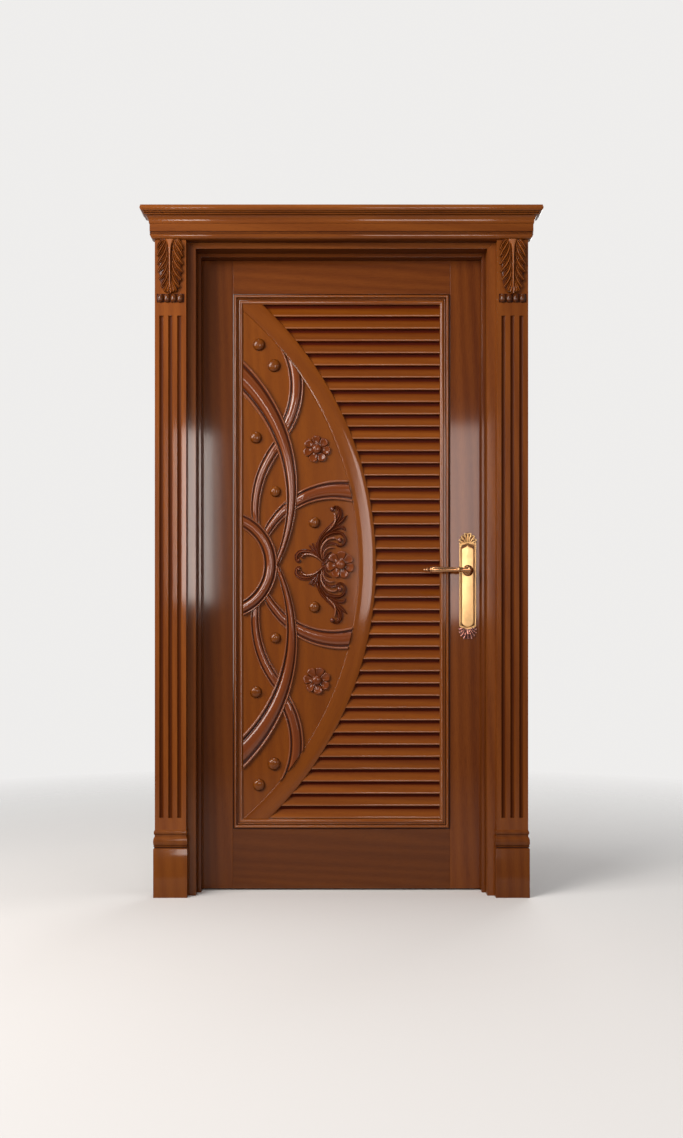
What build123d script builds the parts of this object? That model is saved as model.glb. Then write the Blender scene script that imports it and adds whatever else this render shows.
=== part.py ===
"""Carved single-leaf door in a fluted casing with a cornice, lever handles and a latch.

Millimetres. +Z is up, +X is to the right and +Y is away from someone facing the carved side.
The origin is on the floor, in the middle of the doorway and of the lining's depth.
The leaf hangs on the left, flush with the lining's back, and opens away from the carved side.
"""

import os
from math import cos, radians, sin

from build123d import *

os.makedirs("parts", exist_ok=True)

# Doorway and lining
opening_width = 920
opening_height = 2041
lining_depth = 125
lining_thickness = 40
stop_thickness = 12
stop_depth = 36
stop_clearance = 0.5
fixing_hole_radius = 4
fixing_floor_distance = 275
fixing_head_distance = 266

# Casing
casing_reveal = 27
head_reveal = 19
pilaster_width = 98
pilaster_thickness = 25
flute_count = 3
flute_width = 14
flute_depth = 5
flute_foot_margin = 37
flute_head_margin = 33
plinth_height = 212
plinth_overhang = 4
plinth_thickness = 32

# Carved leaf and beads at the head of each pilaster
acanthus_height = 170
acanthus_width = 84
acanthus_relief = 20
acanthus_ground_height = 8
acanthus_lobe_height = 15
bead_row_height = 34
bead_count = 4
bead_radius = 9
bead_sides = 10

# Cornice
cornice_height = 97
cornice_reach = 41
bed_moulding_height = 22
bed_moulding_reach = 14
cap_height = 14

# Leaf
leaf_thickness = 44
side_gap = 3
head_gap = 4
floor_gap = 5
stile_width = 107
top_rail_height = 115
bottom_rail_height = 192
panel_thickness = 14
panel_setback = 16
panel_groove = 12
joint_line = 0.3
front_moulding_width = 33
front_moulding_rise = 8
rear_moulding_width = 22

# Carved half moon and slats
moon_reach = 429
moon_radius = 1144
moon_drop = 10
carving_clearance = 60
carving_top_share = 1.703
curved_rail_width = 57
curved_rail_height = 15
board_height = 12
band_height = 11
slat_pitch = 39.5
slat_nose_height = 15
slat_root_height = 4
slat_groove = 9
slat_nose_bevel = 3.5
button_height = 13
button_sides = 9
petal_count = 7
petal_height = 5
petal_crown_height = 8
flower_eye_height = 14
scroll_height = 8
scroll_curl_height = 11
curl_sides = 8

# Handle, lock and latch
handle_height = 1030
backset = 50
plate_width = 54
plate_length = 345
plate_thickness = 3
plate_panel_height = 2.5
plate_rise = -49
spindle_size = 8
spindle_engagement = 14
neck_radius = 8
collar_radius = 17.5
collar_height = 7
lever_length = 148
grip_radius = 11.5
lever_projection = 66
lock_case_depth = 75
lock_case_height = 150
lock_case_thickness = 16
face_plate_width = 22
face_plate_height = 180
face_plate_thickness = 3
latch_width = 12
latch_height = 20
latch_throw = 11
latch_travel = 12
latch_tail = 22
strike_height = 64
strike_thickness = 2
strike_lip = 10
strike_pocket_depth = 14
running_gap = 0.08
moving_gap = 0.3

# Hinges
hinge_height = 102
hinge_plate_thickness = 2.5
hinge_plate_width = 32
hinge_edge_distance = 180
knuckle_radius = 6.5
knuckle_sides = 12
knuckle_clearance = 0.5
hinge_pin_radius = 3
hinge_pin_reach = 40

# How far a cut runs past the solid that it cuts
overrun = 5

# Planes and edges that the pieces share
wall_face = -lining_depth / 2
lining_back = lining_depth / 2
leaf_back = lining_back
leaf_front = leaf_back - leaf_thickness
leaf_middle = leaf_front + leaf_thickness / 2
half_opening = opening_width / 2
leaf_left = side_gap - half_opening
leaf_right = half_opening - side_gap
leaf_bottom = floor_gap
leaf_top = opening_height - head_gap
panel_left = leaf_left + stile_width
panel_right = leaf_right - stile_width
panel_bottom = leaf_bottom + bottom_rail_height
panel_top = leaf_top - top_rail_height
panel_face = leaf_front + panel_setback
panel_back = panel_face + panel_thickness
inner_left = panel_left + front_moulding_width
inner_right = panel_right - front_moulding_width
inner_bottom = panel_bottom + front_moulding_width
inner_top = panel_top - front_moulding_width
stop_back = leaf_front - stop_clearance
stop_front = stop_back - stop_depth
fixing_heights = (fixing_floor_distance, opening_height - fixing_head_distance)
casing_inner = half_opening + casing_reveal
casing_outer = casing_inner + pilaster_width
casing_front = wall_face - pilaster_thickness
cornice_bottom = opening_height + head_reveal
cornice_top = cornice_bottom + cornice_height
spindle_x = leaf_right - backset
case_right = leaf_right - face_plate_thickness
latch_back = case_right - latch_tail
casing_middle = (casing_inner + casing_outer) / 2
board_face = panel_face - board_height
rail_inner_radius = moon_radius - curved_rail_width
field_radius = rail_inner_radius - joint_line
moon_height = (inner_bottom + inner_top) / 2 - moon_drop
moon_centre = (inner_left + moon_reach - moon_radius, moon_height)
carving_room = moon_height - inner_bottom - carving_clearance
carving_size = min(moon_reach, carving_room / carving_top_share)
latch_slot = (
    handle_height - latch_height / 2 - moving_gap, handle_height + latch_height / 2 + moving_gap,
    leaf_middle - latch_width / 2 - moving_gap, leaf_middle + latch_width / 2 + moving_gap,
)
case_box = (
    case_right - lock_case_depth, case_right,
    handle_height - lock_case_height / 2, handle_height + lock_case_height / 2,
    leaf_middle - lock_case_thickness / 2, leaf_middle + lock_case_thickness / 2,
)
plate_reach = plate_thickness + plate_panel_height
face_plate_box = (
    case_right, leaf_right,
    handle_height - face_plate_height / 2, handle_height + face_plate_height / 2,
    leaf_middle - face_plate_width / 2, leaf_middle + face_plate_width / 2,
)
spindle_box = (
    spindle_x - spindle_size / 2, spindle_x + spindle_size / 2,
    handle_height - spindle_size / 2, handle_height + spindle_size / 2,
    leaf_front - spindle_engagement, leaf_back + spindle_engagement,
)
spindle_hole = (
    spindle_x - spindle_size, spindle_x + spindle_size,
    handle_height - spindle_size, handle_height + spindle_size, leaf_front, leaf_back,
)
hinge_x = leaf_left - side_gap / 2
hinge_y = leaf_back + knuckle_radius + knuckle_clearance
hinge_feet = (
    leaf_bottom + hinge_edge_distance,
    (leaf_bottom + leaf_top - hinge_height) / 2,
    leaf_top - hinge_edge_distance - hinge_height,
)

# Moulding outlines: across share and lift share
front_moulding_shares = (
    (0, 0), (0, 0.72), (0.13, 0.72), (0.14, 0.90), (0.19, 0.98), (0.31, 0.98), (0.36, 0.90), (0.37, 0.80),
    (0.46, 0.80), (0.51, 0.65), (0.60, 0.55), (0.72, 0.52), (0.73, 0.62), (0.78, 0.70), (0.88, 0.70),
    (0.94, 0.60), (1, 0.52), (1, 0),
)
rear_moulding_shares = (
    (0, 0), (0, 1), (0.25, 1), (0.33, 0.72), (0.5, 0.54), (0.72, 0.47), (0.9, 0.45), (1, 0.45), (1, 0),
)
bed_moulding_shares = (
    (0, 0), (0.18, 0), (0.45, 0.1), (0.72, 0.3), (0.88, 0.58), (0.98, 0.62), (0.98, 0.88), (0.88, 0.94),
    (0.88, 1), (0, 1),
)
crown_moulding_shares = (
    (0, 0), (0.345, 0), (0.345, 0.42), (0.385, 0.45), (0.41, 0.6), (0.5, 0.74), (0.62, 0.82), (0.74, 0.85),
    (0.78, 0.86), (0.78, 1), (0, 1),
)
# Plinth outline going up one side: overhang share and height share
plinth_shares = (
    (1, 0), (1, 0.72), (0.3, 0.74), (1, 0.76), (1.1, 0.8), (1.05, 0.845), (0.6, 0.885), (0.1, 0.9),
    (0.1, 0.925), (0.45, 0.93), (0.7, 0.96), (0.45, 0.99), (0, 1),
)
# Band section: bead, groove, wide rib, groove, bead, as shares of the width and of the height
band_section_shares = (
    (-0.5, 0), (-0.45, 0.6), (-0.31, 0.25), (-0.15, 1), (0.15, 1), (0.31, 0.25), (0.45, 0.6), (0.5, 0),
)
# Bands of the half moon as shares of the carving's size: centre across, centre up, radius and three widths
crescent_shares = (-0.873, 0.531, 1.239, 0.188, 0.105, 0.041)
crescent_angles = (50, -31)
half_ring_shares = (-0.153, 0, 0.359, 0.107, 0.107, 0.107)
half_ring_angles = (80, -80)
upper_ogee_shares = (-0.241, 1.348, 0.641, 0.112, 0.109, 0.107)
upper_ogee_angles = (32, -42)
lower_ogee_shares = (0.878, 0.405, 0.789, 0.096, 0.08, 0.06)
lower_ogee_angles = (139, 190)
arch_shares = (0.709, -0.043, 0.603, 0.162, 0.11, 0.058)
arch_angles = (70, 164)
band_stations = 8
bow_steps = 4
band_cutter_shares = ((-0.5, -1), (-0.5, 2), (0.5, 2), (0.5, -1))
# Buttons on the upper half: across, up and diameter as shares of the size
button_shares = (
    (0.118, 1.656, 0.094), (0.231, 1.498, 0.098), (0.095, 0.957, 0.09), (0.242, 0.551, 0.083),
    (0.535, 0.318, 0.086),
)
# Flowers: across, up and diameter as shares of the size
flower_shares = ((0.554, 0.87, 0.205), (0.733, 0, 0.212), (0.554, -0.87, 0.205))
# One petal's edge, from notch to notch: share of the petal's turn and share of the flower's radius
petal_shares = ((0, 0.66), (0.27, 1), (0.73, 1))
petal_crown_share = 0.72
dome_bevel_share = 0.5
dome_crown_share = 0.45
flower_eye_share = 0.17
# Leaf scroll strokes: root, middle and tip of the outer edge, then the inner edge's middle
scroll_stroke_shares = (
    ((0.63, 0.02), (0.46, 0.165), (0.365, 0.06), (0.47, 0.1)),
    ((0.61, 0.05), (0.6, 0.24), (0.75, 0.43), (0.66, 0.22)),
    ((0.64, 0.03), (0.62, 0.2), (0.76, 0.21), (0.68, 0.13)),
    ((0.63, 0.16), (0.69, 0.32), (0.79, 0.36), (0.73, 0.26)),
    ((0.6, 0.05), (0.54, 0.13), (0.5, 0.18), (0.56, 0.16)),
)
# Curls at the ends of the strokes: across, up and radius as shares of the size
scroll_curl_shares = ((0.395, 0.07, 0.04), (0.685, 0.44, 0.034), (0.735, 0.185, 0.045))
# Lobes of the hanging leaf: height of the root, height of the tip, reach of the tip, thickness
acanthus_lobe_shares = (
    (1.0, 0.78, 0.92, 0.14), (0.86, 0.58, 0.95, 0.13), (0.7, 0.42, 0.9, 0.12), (0.54, 0.26, 0.8, 0.11),
    (0.38, 0.12, 0.6, 0.1), (0.2, 0.04, 0.25, 0.12),
)
acanthus_rib_shares = ((-0.2, 1), (-0.06, 0.4), (-0.05, 0.06), (0.05, 0.06), (0.06, 0.4), (0.2, 1))
acanthus_ground_shares = (
    (-0.86, 1), (-0.8, 0.5), (-0.5, 0.16), (0, 0.02), (0.5, 0.16), (0.8, 0.5), (0.86, 1),
)
lobe_root_share = 0.12
# One lobe's outline: share of its length and of its thickness to either side
lobe_shares = ((0, -0.8), (0.55, -1), (1, 0), (0.55, 1), (0, 0.8))
# Lever's turned outline: distance from the spindle and radius, as shares of its length and grip radius
lever_shares = (
    (-0.06, 0.68), (0.22, 0.6), (0.8, 0.95), (0.83, 1), (0.86, 1), (0.885, 0.42), (0.93, 0.55), (1, 0.2),
)
lever_turns = (0, 45, 90, 135)
# Collar rings: radius share and height share
collar_shares = ((1, 0.5), (0.72, 1))
collar_sides = 12
# Handle plate, one quarter: shares of half its width and half its length
plate_base_shares = (
    (1, 0), (1, 0.84), (0.92, 0.87), (0.98, 0.9), (0.8, 0.92), (0.76, 0.96), (0.48, 0.955), (0.34, 0.99),
    (0.12, 0.965), (0, 1),
)
plate_panel_shares = ((0.7, 0), (0.7, 0.76), (0.42, 0.81), (0.2, 0.815), (0, 0.835))
cap_nose_share = 0.7
latch_bevel_share = 0.75


def facing(y):
    """Plane at depth y seen from the carved side: local x is X, local y is Z, and it faces the viewer."""
    return Plane(origin=(0, y, 0), x_dir=(1, 0, 0), z_dir=(0, -1, 0))


def save(piece, name):
    """Label a finished piece and write it."""
    piece.part.label = name
    export_step(piece.part, f"parts/{name}.step")


def block(left, right, bottom, top, front, back, mode=Mode.ADD):
    """Add or cut a rectangular block in the part that is being built."""
    with BuildSketch(facing(back)) as outline:
        with Locations(((left + right) / 2, (bottom + top) / 2)):
            Rectangle(right - left, top - bottom)
    extrude(outline.sketch, amount=back - front, mode=mode)


def bore(x, z, radius, front, back, mode=Mode.SUBTRACT):
    """Cut a round hole, or add a round boss, along the leaf's thickness."""
    with BuildSketch(facing(back)) as outline:
        with Locations((x, z)):
            Circle(radius)
    extrude(outline.sketch, amount=back - front, mode=mode)


def outline_face(plane, rows, width, height):
    """Sketch on a plane of the closed outline that rows of shares give."""
    with BuildSketch(plane) as face:
        with BuildLine():
            Polyline(*[(row[0] * width, row[1] * height) for row in rows], close=True)
        make_face()
    return face.sketch


def moulding(rows, width, height, start, along, across, length, mitres):
    """Add one length of moulding from start, its ends mitred inwards (1), outwards (-1) or square (0)."""
    start, along, across = Vector(start), Vector(along), Vector(across)
    end = start + along * length
    first = start - along * (width if mitres[0] < 0 else 0)
    last = end + along * (width if mitres[1] < 0 else 0)
    section = Plane(origin=first, x_dir=across, z_dir=along)
    extrude(outline_face(section, rows, width, height), amount=(last - first).length)
    for corner, inward, mitre in ((start, along, mitres[0]), (end, -along, mitres[1])):
        if mitre:
            split(bisect_by=Plane(origin=corner, z_dir=inward - across * mitre), keep=Keep.TOP)


def rising_face(plane, rows, base, overhang, height, both_sides=False):
    """Sketch of an outline that rises at base plus shares of an overhang, on one side or on both."""
    with BuildSketch(plane) as face:
        with BuildLine():
            edge = [(base + row[0] * overhang, row[1] * height) for row in rows]
            Polyline((0, 0), *edge, (0, edge[-1][1]), close=True)
        make_face()
        if both_sides:
            mirror(about=Plane.YZ)
    return face.sketch


def post(radius, bottom, top, mode=Mode.ADD, sides=None):
    """Add or cut an upright on the hinge axis, round or with a number of sides."""
    with BuildSketch(Plane.XY.offset(bottom)) as outline:
        with Locations((hinge_x, hinge_y)):
            if sides:
                RegularPolygon(radius, sides)
            else:
                Circle(radius)
    extrude(outline.sketch, amount=top - bottom, mode=mode)


def dome(centre, radius, height, sides):
    """Faceted button on the half-moon board: a prism with its top edges bevelled."""
    with BuildPart() as button:
        with BuildSketch(facing(board_face)):
            with Locations(centre):
                RegularPolygon(radius, sides)
        extrude(amount=height)
        top_edges = button.faces().sort_by(Axis.Y)[0].edges()
        chamfer(top_edges, length=dome_bevel_share * height, length2=dome_crown_share * radius)
    return button.part


def flower_points(centre, radius):
    """Corners of a flower's petals round a centre."""
    points = []
    for petal in range(petal_count):
        for turn_share, radius_share in petal_shares:
            angle = 360 * (petal + turn_share) / petal_count
            points.append(centre + Vector(radius_share * radius, 0).rotate(Axis.Z, angle))
    return points


def bowed(start, middle, end):
    """Points of a bowed edge from start to end through the middle, without its end point."""
    start, middle, end = Vector(start), Vector(middle), Vector(end)
    pull = middle * 2 - (start + end) / 2
    steps = [step / bow_steps for step in range(bow_steps)]
    return [start * (1 - t) ** 2 + pull * 2 * t * (1 - t) + end * t**2 for t in steps]


def moon_face(y, radius, inner_radius=None):
    """Sketch at depth y of the half moon's disc, or of a ring of it, inside the panel moulding."""
    with BuildSketch(facing(y)) as face:
        with Locations(moon_centre):
            Circle(radius)
            if inner_radius:
                Circle(inner_radius, mode=Mode.SUBTRACT)
        with Locations(((inner_left + inner_right) / 2, (inner_bottom + inner_top) / 2)):
            Rectangle(inner_right - inner_left, inner_top - inner_bottom, mode=Mode.INTERSECT)
    return face.sketch


def band(shares, angles, section):
    """Carved band along an arc of the half moon, lofted through sections whose width changes."""
    centre = moon_point(shares[0], shares[1])
    radius = shares[2] * carving_size
    clearance = 2 * joint_line if section is band_cutter_shares else 0
    faces = []
    for station in range(band_stations):
        along = station / (band_stations - 1)
        first, middle, last = shares[3:]
        ends = first * (1 - along) * (1 - 2 * along) + last * along * (2 * along - 1)
        width = ends + 4 * middle * along * (1 - along)
        angle = radians(angles[0] + (angles[1] - angles[0]) * along)
        origin = (centre[0] + radius * cos(angle), board_face, centre[1] + radius * sin(angle))
        across = Plane(origin=origin, x_dir=(cos(angle), 0, sin(angle)), z_dir=(sin(angle), 0, -cos(angle)))
        faces.append(outline_face(across, section, width * carving_size + clearance, band_height))
    with BuildPart() as piece:
        loft(faces, ruled=True)
    return piece.part


def moon_point(across_share, up_share):
    """Point of the half moon, in X and Z, from shares of the carving's size."""
    return (inner_left + across_share * carving_size, moon_height + up_share * carving_size)


# Lining boards, mitred at the head
for side, name in ((-1, "hinge_jamb"), (1, "lock_jamb")):
    with BuildPart() as jamb:
        with BuildSketch(facing(lining_back)):
            with BuildLine():
                Polyline(
                    (side * half_opening, 0),
                    (side * half_opening, opening_height),
                    (side * (half_opening + lining_thickness), opening_height + lining_thickness),
                    (side * (half_opening + lining_thickness), 0),
                    close=True,
                )
            make_face()
        extrude(amount=lining_depth)
        # Screw holes through to the wall, behind the planted stop
        with BuildSketch(Plane.YZ.offset(side * half_opening)) as holes:
            with Locations(*[(stop_front + stop_depth / 2, height) for height in fixing_heights]):
                Circle(fixing_hole_radius)
        extrude(holes.sketch, amount=side * lining_thickness, mode=Mode.SUBTRACT)
        if side < 0:
            for foot in hinge_feet:
                block(
                    -half_opening - hinge_plate_thickness, -half_opening, foot, foot + hinge_height,
                    lining_back - hinge_plate_width, lining_back, Mode.SUBTRACT,
                )
        else:
            block(
                half_opening, half_opening + strike_thickness,
                handle_height - strike_height / 2, handle_height + strike_height / 2,
                leaf_middle - latch_width / 2 - strike_lip, lining_back, Mode.SUBTRACT,
            )
            block(half_opening, half_opening + strike_pocket_depth, *latch_slot, Mode.SUBTRACT)
    save(jamb, name)

with BuildPart() as head_jamb:
    with BuildSketch(facing(lining_back)):
        with BuildLine():
            Polyline(
                (-half_opening, opening_height),
                (half_opening, opening_height),
                (half_opening + lining_thickness, opening_height + lining_thickness),
                (-half_opening - lining_thickness, opening_height + lining_thickness),
                close=True,
            )
        make_face()
    extrude(amount=lining_depth)
save(head_jamb, "head_jamb")

# Planted stops that the leaf closes against
for side, name in ((-1, "hinge_stop"), (1, "lock_stop")):
    edges = sorted((side * half_opening, side * (half_opening - stop_thickness)))
    with BuildPart() as stop:
        block(edges[0], edges[1], 0, opening_height, stop_front, stop_back)
    save(stop, name)

with BuildPart() as head_stop:
    block(
        stop_thickness - half_opening, half_opening - stop_thickness,
        opening_height - stop_thickness, opening_height, stop_front, stop_back,
    )
save(head_stop, "head_stop")

# Fluted pilasters
flute_radius = ((flute_width / 2) ** 2 + flute_depth**2) / (2 * flute_depth)
flute_bottom = plinth_height + flute_foot_margin
flute_top = cornice_bottom - acanthus_height - bead_row_height - flute_head_margin
flute_pitch = pilaster_width / (2 * flute_count + 1) * 2
for side, name in ((-1, "left_pilaster"), (1, "right_pilaster")):
    middle = side * casing_middle
    with BuildPart() as pilaster:
        block(
            middle - pilaster_width / 2, middle + pilaster_width / 2,
            plinth_height, cornice_bottom, casing_front, wall_face,
        )
        with BuildSketch(Plane.XY.offset(flute_bottom)) as flutes:
            with Locations((middle, casing_front + flute_depth - flute_radius)):
                with GridLocations(flute_pitch, 0, flute_count, 1):
                    Circle(flute_radius)
        extrude(flutes.sketch, amount=flute_top - flute_bottom, mode=Mode.SUBTRACT)
    save(pilaster, name)

# Plinth blocks: the front and the side outlines, crossed, give a moulded top that returns on both sides
plinth_front_overhang = plinth_thickness - pilaster_thickness
for side, name in ((-1, "left_plinth_block"), (1, "right_plinth_block")):
    foot = (side * casing_middle, wall_face, 0)
    front_view = Plane(origin=foot, x_dir=(1, 0, 0), z_dir=(0, -1, 0))
    side_view = Plane(origin=foot, x_dir=(0, -1, 0), z_dir=(-1, 0, 0))
    with BuildPart() as plinth:
        profile = rising_face(
            side_view, plinth_shares, pilaster_thickness, plinth_front_overhang, plinth_height
        )
        extrude(profile, amount=pilaster_width, both=True)
        outline = rising_face(
            front_view, plinth_shares, pilaster_width / 2, plinth_overhang, plinth_height, True
        )
        extrude(outline, amount=plinth_thickness + overrun, mode=Mode.INTERSECT)
    save(plinth, name)

# Hanging leaf and bead row at the head of each pilaster
acanthus_bottom = cornice_bottom - acanthus_height
with BuildPart() as acanthus_leaves:
    for side in (-1, 1):
        base = Plane(
            origin=(side * casing_middle, casing_front, acanthus_bottom), x_dir=(1, 0, 0), z_dir=(0, -1, 0)
        )
        half_width = acanthus_width / 2
        with BuildSketch(base) as ground:
            with BuildLine():
                Polyline(
                    *[(row[0] * half_width, row[1] * acanthus_height) for row in acanthus_ground_shares],
                    close=True,
                )
            make_face()
        extrude(ground.sketch, amount=acanthus_ground_height)
        for root, tip, reach, thick in acanthus_lobe_shares:
            for hand in (-1, 1):
                start = Vector(hand * lobe_root_share * half_width, root * acanthus_height)
                run = Vector(hand * reach * half_width, tip * acanthus_height) - start
                side_step = run.normalized().rotate(Axis.Z, 90) * thick * half_width
                corners = [start + run * along + side_step * aside for along, aside in lobe_shares]
                with BuildSketch(base) as lobe:
                    with BuildLine():
                        Polyline(*corners, close=True)
                    make_face()
                extrude(lobe.sketch, amount=acanthus_lobe_height)
        with BuildSketch(base) as rib:
            with BuildLine():
                Polyline(
                    *[(row[0] * half_width, row[1] * acanthus_height) for row in acanthus_rib_shares],
                    close=True,
                )
            make_face()
        extrude(rib.sketch, amount=acanthus_relief)
    block(
        -casing_outer, casing_outer, acanthus_bottom, cornice_bottom,
        casing_front - acanthus_relief, casing_front, Mode.INTERSECT,
    )
save(acanthus_leaves, "acanthus_leaves")

bead_length = bead_row_height - bead_radius
bead_pitch = acanthus_width / bead_count
with BuildPart() as corbel_beads:
    with BuildSketch(Plane.XY.offset(acanthus_bottom - bead_length)) as beads:
        for side in (-1, 1):
            with Locations((side * casing_middle, casing_front)):
                with GridLocations(bead_pitch, 0, bead_count, 1):
                    RegularPolygon(bead_radius, bead_sides)
        with Locations((0, casing_front - bead_radius)):
            Rectangle(2 * casing_outer, 2 * bead_radius, mode=Mode.INTERSECT)
    extrude(beads.sketch, amount=bead_length)
save(corbel_beads, "corbel_beads")

# Cornice: a core board with a bed moulding, a crown moulding and a nosed cap round it
cap_bottom = cornice_top - cap_height
bed_top = cornice_bottom + bed_moulding_height
with BuildPart() as cornice_core:
    block(-casing_outer, casing_outer, cornice_bottom, cap_bottom, casing_front, wall_face)
save(cornice_core, "cornice_core")

cornice_runs = (
    ("front", (casing_outer, casing_front), (-1, 0, 0), (0, -1, 0), 2 * casing_outer, (-1, -1)),
    ("left_return", (-casing_outer, casing_front), (0, 1, 0), (-1, 0, 0), pilaster_thickness, (-1, 0)),
    ("right_return", (casing_outer, wall_face), (0, -1, 0), (1, 0, 0), pilaster_thickness, (0, -1)),
)
cornice_mouldings = (
    ("bed", bed_moulding_shares, bed_moulding_reach, cornice_bottom, bed_top),
    ("crown", crown_moulding_shares, cornice_reach, bed_top, cap_bottom),
)
for kind, rows, reach, bottom, top in cornice_mouldings:
    for place, corner, along, across, length, mitres in cornice_runs:
        with BuildPart() as cornice_length:
            moulding(rows, reach, top - bottom, (*corner, bottom), along, across, length, mitres)
        save(cornice_length, f"{kind}_{place}")

with BuildPart() as cornice_cap:
    block(
        -casing_outer - cornice_reach, casing_outer + cornice_reach,
        cap_bottom, cornice_top, casing_front - cornice_reach, wall_face,
    )
    under_edges = cornice_cap.faces().sort_by(Axis.Z)[0].edges().sort_by(Axis.Y)[:-1]
    chamfer(under_edges, length=cap_nose_share * cap_height)
save(cornice_cap, "cornice_cap")

# Leaf frame: stiles with a groove, rails with tongues, and the panel in their groove
for side, name in ((-1, "hinge_stile"), (1, "lock_stile")):
    edges = sorted((side * leaf_right, side * (leaf_right - stile_width)))
    groove = sorted((side * panel_right, side * (panel_right + panel_groove)))
    with BuildPart() as stile:
        block(edges[0], edges[1], leaf_bottom, leaf_top, leaf_front, leaf_back)
        block(groove[0], groove[1], leaf_bottom, leaf_top, panel_face, panel_back, Mode.SUBTRACT)
        if side < 0:
            for foot in hinge_feet:
                block(
                    leaf_left, leaf_left + hinge_plate_thickness, foot, foot + hinge_height,
                    leaf_back - hinge_plate_width, leaf_back, Mode.SUBTRACT,
                )
        else:
            block(*case_box, Mode.SUBTRACT)
            block(*face_plate_box, Mode.SUBTRACT)
            block(*spindle_hole, Mode.SUBTRACT)
    save(stile, name)

for name, bottom, top, groove in (
    ("bottom_rail", leaf_bottom, panel_bottom, (panel_bottom - panel_groove, panel_bottom)),
    ("top_rail", panel_top, leaf_top, (panel_top, panel_top + panel_groove)),
):
    with BuildPart() as rail:
        block(panel_left, panel_right, bottom, top, leaf_front, leaf_back)
        block(panel_left - panel_groove, panel_right + panel_groove, bottom, top, panel_face, panel_back)
        block(
            panel_left - panel_groove, panel_right + panel_groove, groove[0], groove[1],
            panel_face, panel_back, Mode.SUBTRACT,
        )
    save(rail, name)

with BuildPart() as backing_panel:
    block(
        panel_left - panel_groove, panel_right + panel_groove,
        panel_bottom - panel_groove, panel_top + panel_groove, panel_face, panel_back,
    )
save(backing_panel, "backing_panel")

# Mitred mouldings round the panel, front and rear
panel_across = panel_right - panel_left
panel_up = panel_top - panel_bottom
front_runs = (
    ("left", (panel_left, panel_face, panel_top), (0, 0, -1), (1, 0, 0), panel_up),
    ("bottom", (panel_left, panel_face, panel_bottom), (1, 0, 0), (0, 0, 1), panel_across),
    ("right", (panel_right, panel_face, panel_bottom), (0, 0, 1), (-1, 0, 0), panel_up),
    ("top", (panel_right, panel_face, panel_top), (-1, 0, 0), (0, 0, -1), panel_across),
)
rear_runs = (
    ("left", (panel_left, panel_back, panel_bottom), (0, 0, 1), (1, 0, 0), panel_up),
    ("bottom", (panel_right, panel_back, panel_bottom), (-1, 0, 0), (0, 0, 1), panel_across),
    ("right", (panel_right, panel_back, panel_top), (0, 0, -1), (-1, 0, 0), panel_up),
    ("top", (panel_left, panel_back, panel_top), (1, 0, 0), (0, 0, -1), panel_across),
)
panel_mouldings = (
    ("front", front_moulding_shares, front_moulding_width, panel_setback + front_moulding_rise, front_runs),
    ("rear", rear_moulding_shares, rear_moulding_width, leaf_back - panel_back, rear_runs),
)
for kind, rows, width, height, runs in panel_mouldings:
    for place, start, along, across, length in runs:
        with BuildPart() as panel_length:
            moulding(rows, width, height, start, along, across, length, (1, 1))
        save(panel_length, f"{kind}_moulding_{place}")

# Half-moon board and the curved rail round it
with BuildPart() as half_moon_board:
    extrude(moon_face(panel_face, field_radius), amount=board_height)
save(half_moon_board, "half_moon_board")

with BuildPart() as curved_rail:
    extrude(moon_face(panel_face, moon_radius, rail_inner_radius), amount=curved_rail_height)
save(curved_rail, "curved_rail")

# Carved bands: each passes under the ones named after it
crescent = band(crescent_shares, crescent_angles, band_section_shares)
half_ring = band(half_ring_shares, half_ring_angles, band_section_shares)
over_crescent = band(crescent_shares, crescent_angles, band_cutter_shares)
over_ring = band(half_ring_shares, half_ring_angles, band_cutter_shares)
under_bands = [
    band(shares, angles, band_section_shares)
    for shares, angles in (
        (upper_ogee_shares, upper_ogee_angles),
        (lower_ogee_shares, lower_ogee_angles),
        (arch_shares, arch_angles),
    )
]
with BuildPart() as under_half:
    for piece in under_bands:
        add(piece)
    add(over_crescent, mode=Mode.SUBTRACT)
    add(over_ring, mode=Mode.SUBTRACT)
with BuildPart() as crescent_half:
    add(crescent)
    add(over_ring, mode=Mode.SUBTRACT)
with BuildPart() as carved_bands:
    add(under_half.part)
    add(crescent_half.part)
    block(
        inner_left, inner_right, moon_height + joint_line, inner_top,
        board_face - band_height, board_face, Mode.INTERSECT,
    )
    mirror(about=Plane.XY.offset(moon_height))
    add(half_ring)
    extrude(moon_face(board_face, field_radius), amount=band_height, mode=Mode.INTERSECT)
save(carved_bands, "carved_bands")

# Buttons
button_domes = [
    dome(moon_point(across, hand * up), diameter * carving_size / 2, button_height, button_sides)
    for across, up, diameter in button_shares
    for hand in (-1, 1)
]
with BuildPart() as buttons:
    add(button_domes)
save(buttons, "buttons")

# Flowers: a ring of petals in two steps, with a round eye
flower_eyes = [
    dome(
        moon_point(across, up), flower_eye_share * diameter * carving_size, flower_eye_height, button_sides
    )
    for across, up, diameter in flower_shares
]
with BuildPart() as flowers:
    for across, up, diameter in flower_shares:
        centre = Vector(moon_point(across, up))
        span = diameter * carving_size
        for size_share, height in ((1, petal_height), (petal_crown_share, petal_crown_height)):
            with BuildSketch(facing(board_face)) as petals:
                with BuildLine():
                    Polyline(*flower_points(centre, size_share * span / 2), close=True)
                make_face()
            extrude(petals.sketch, amount=height)
    add(flower_eyes)
save(flowers, "flowers")

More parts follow.
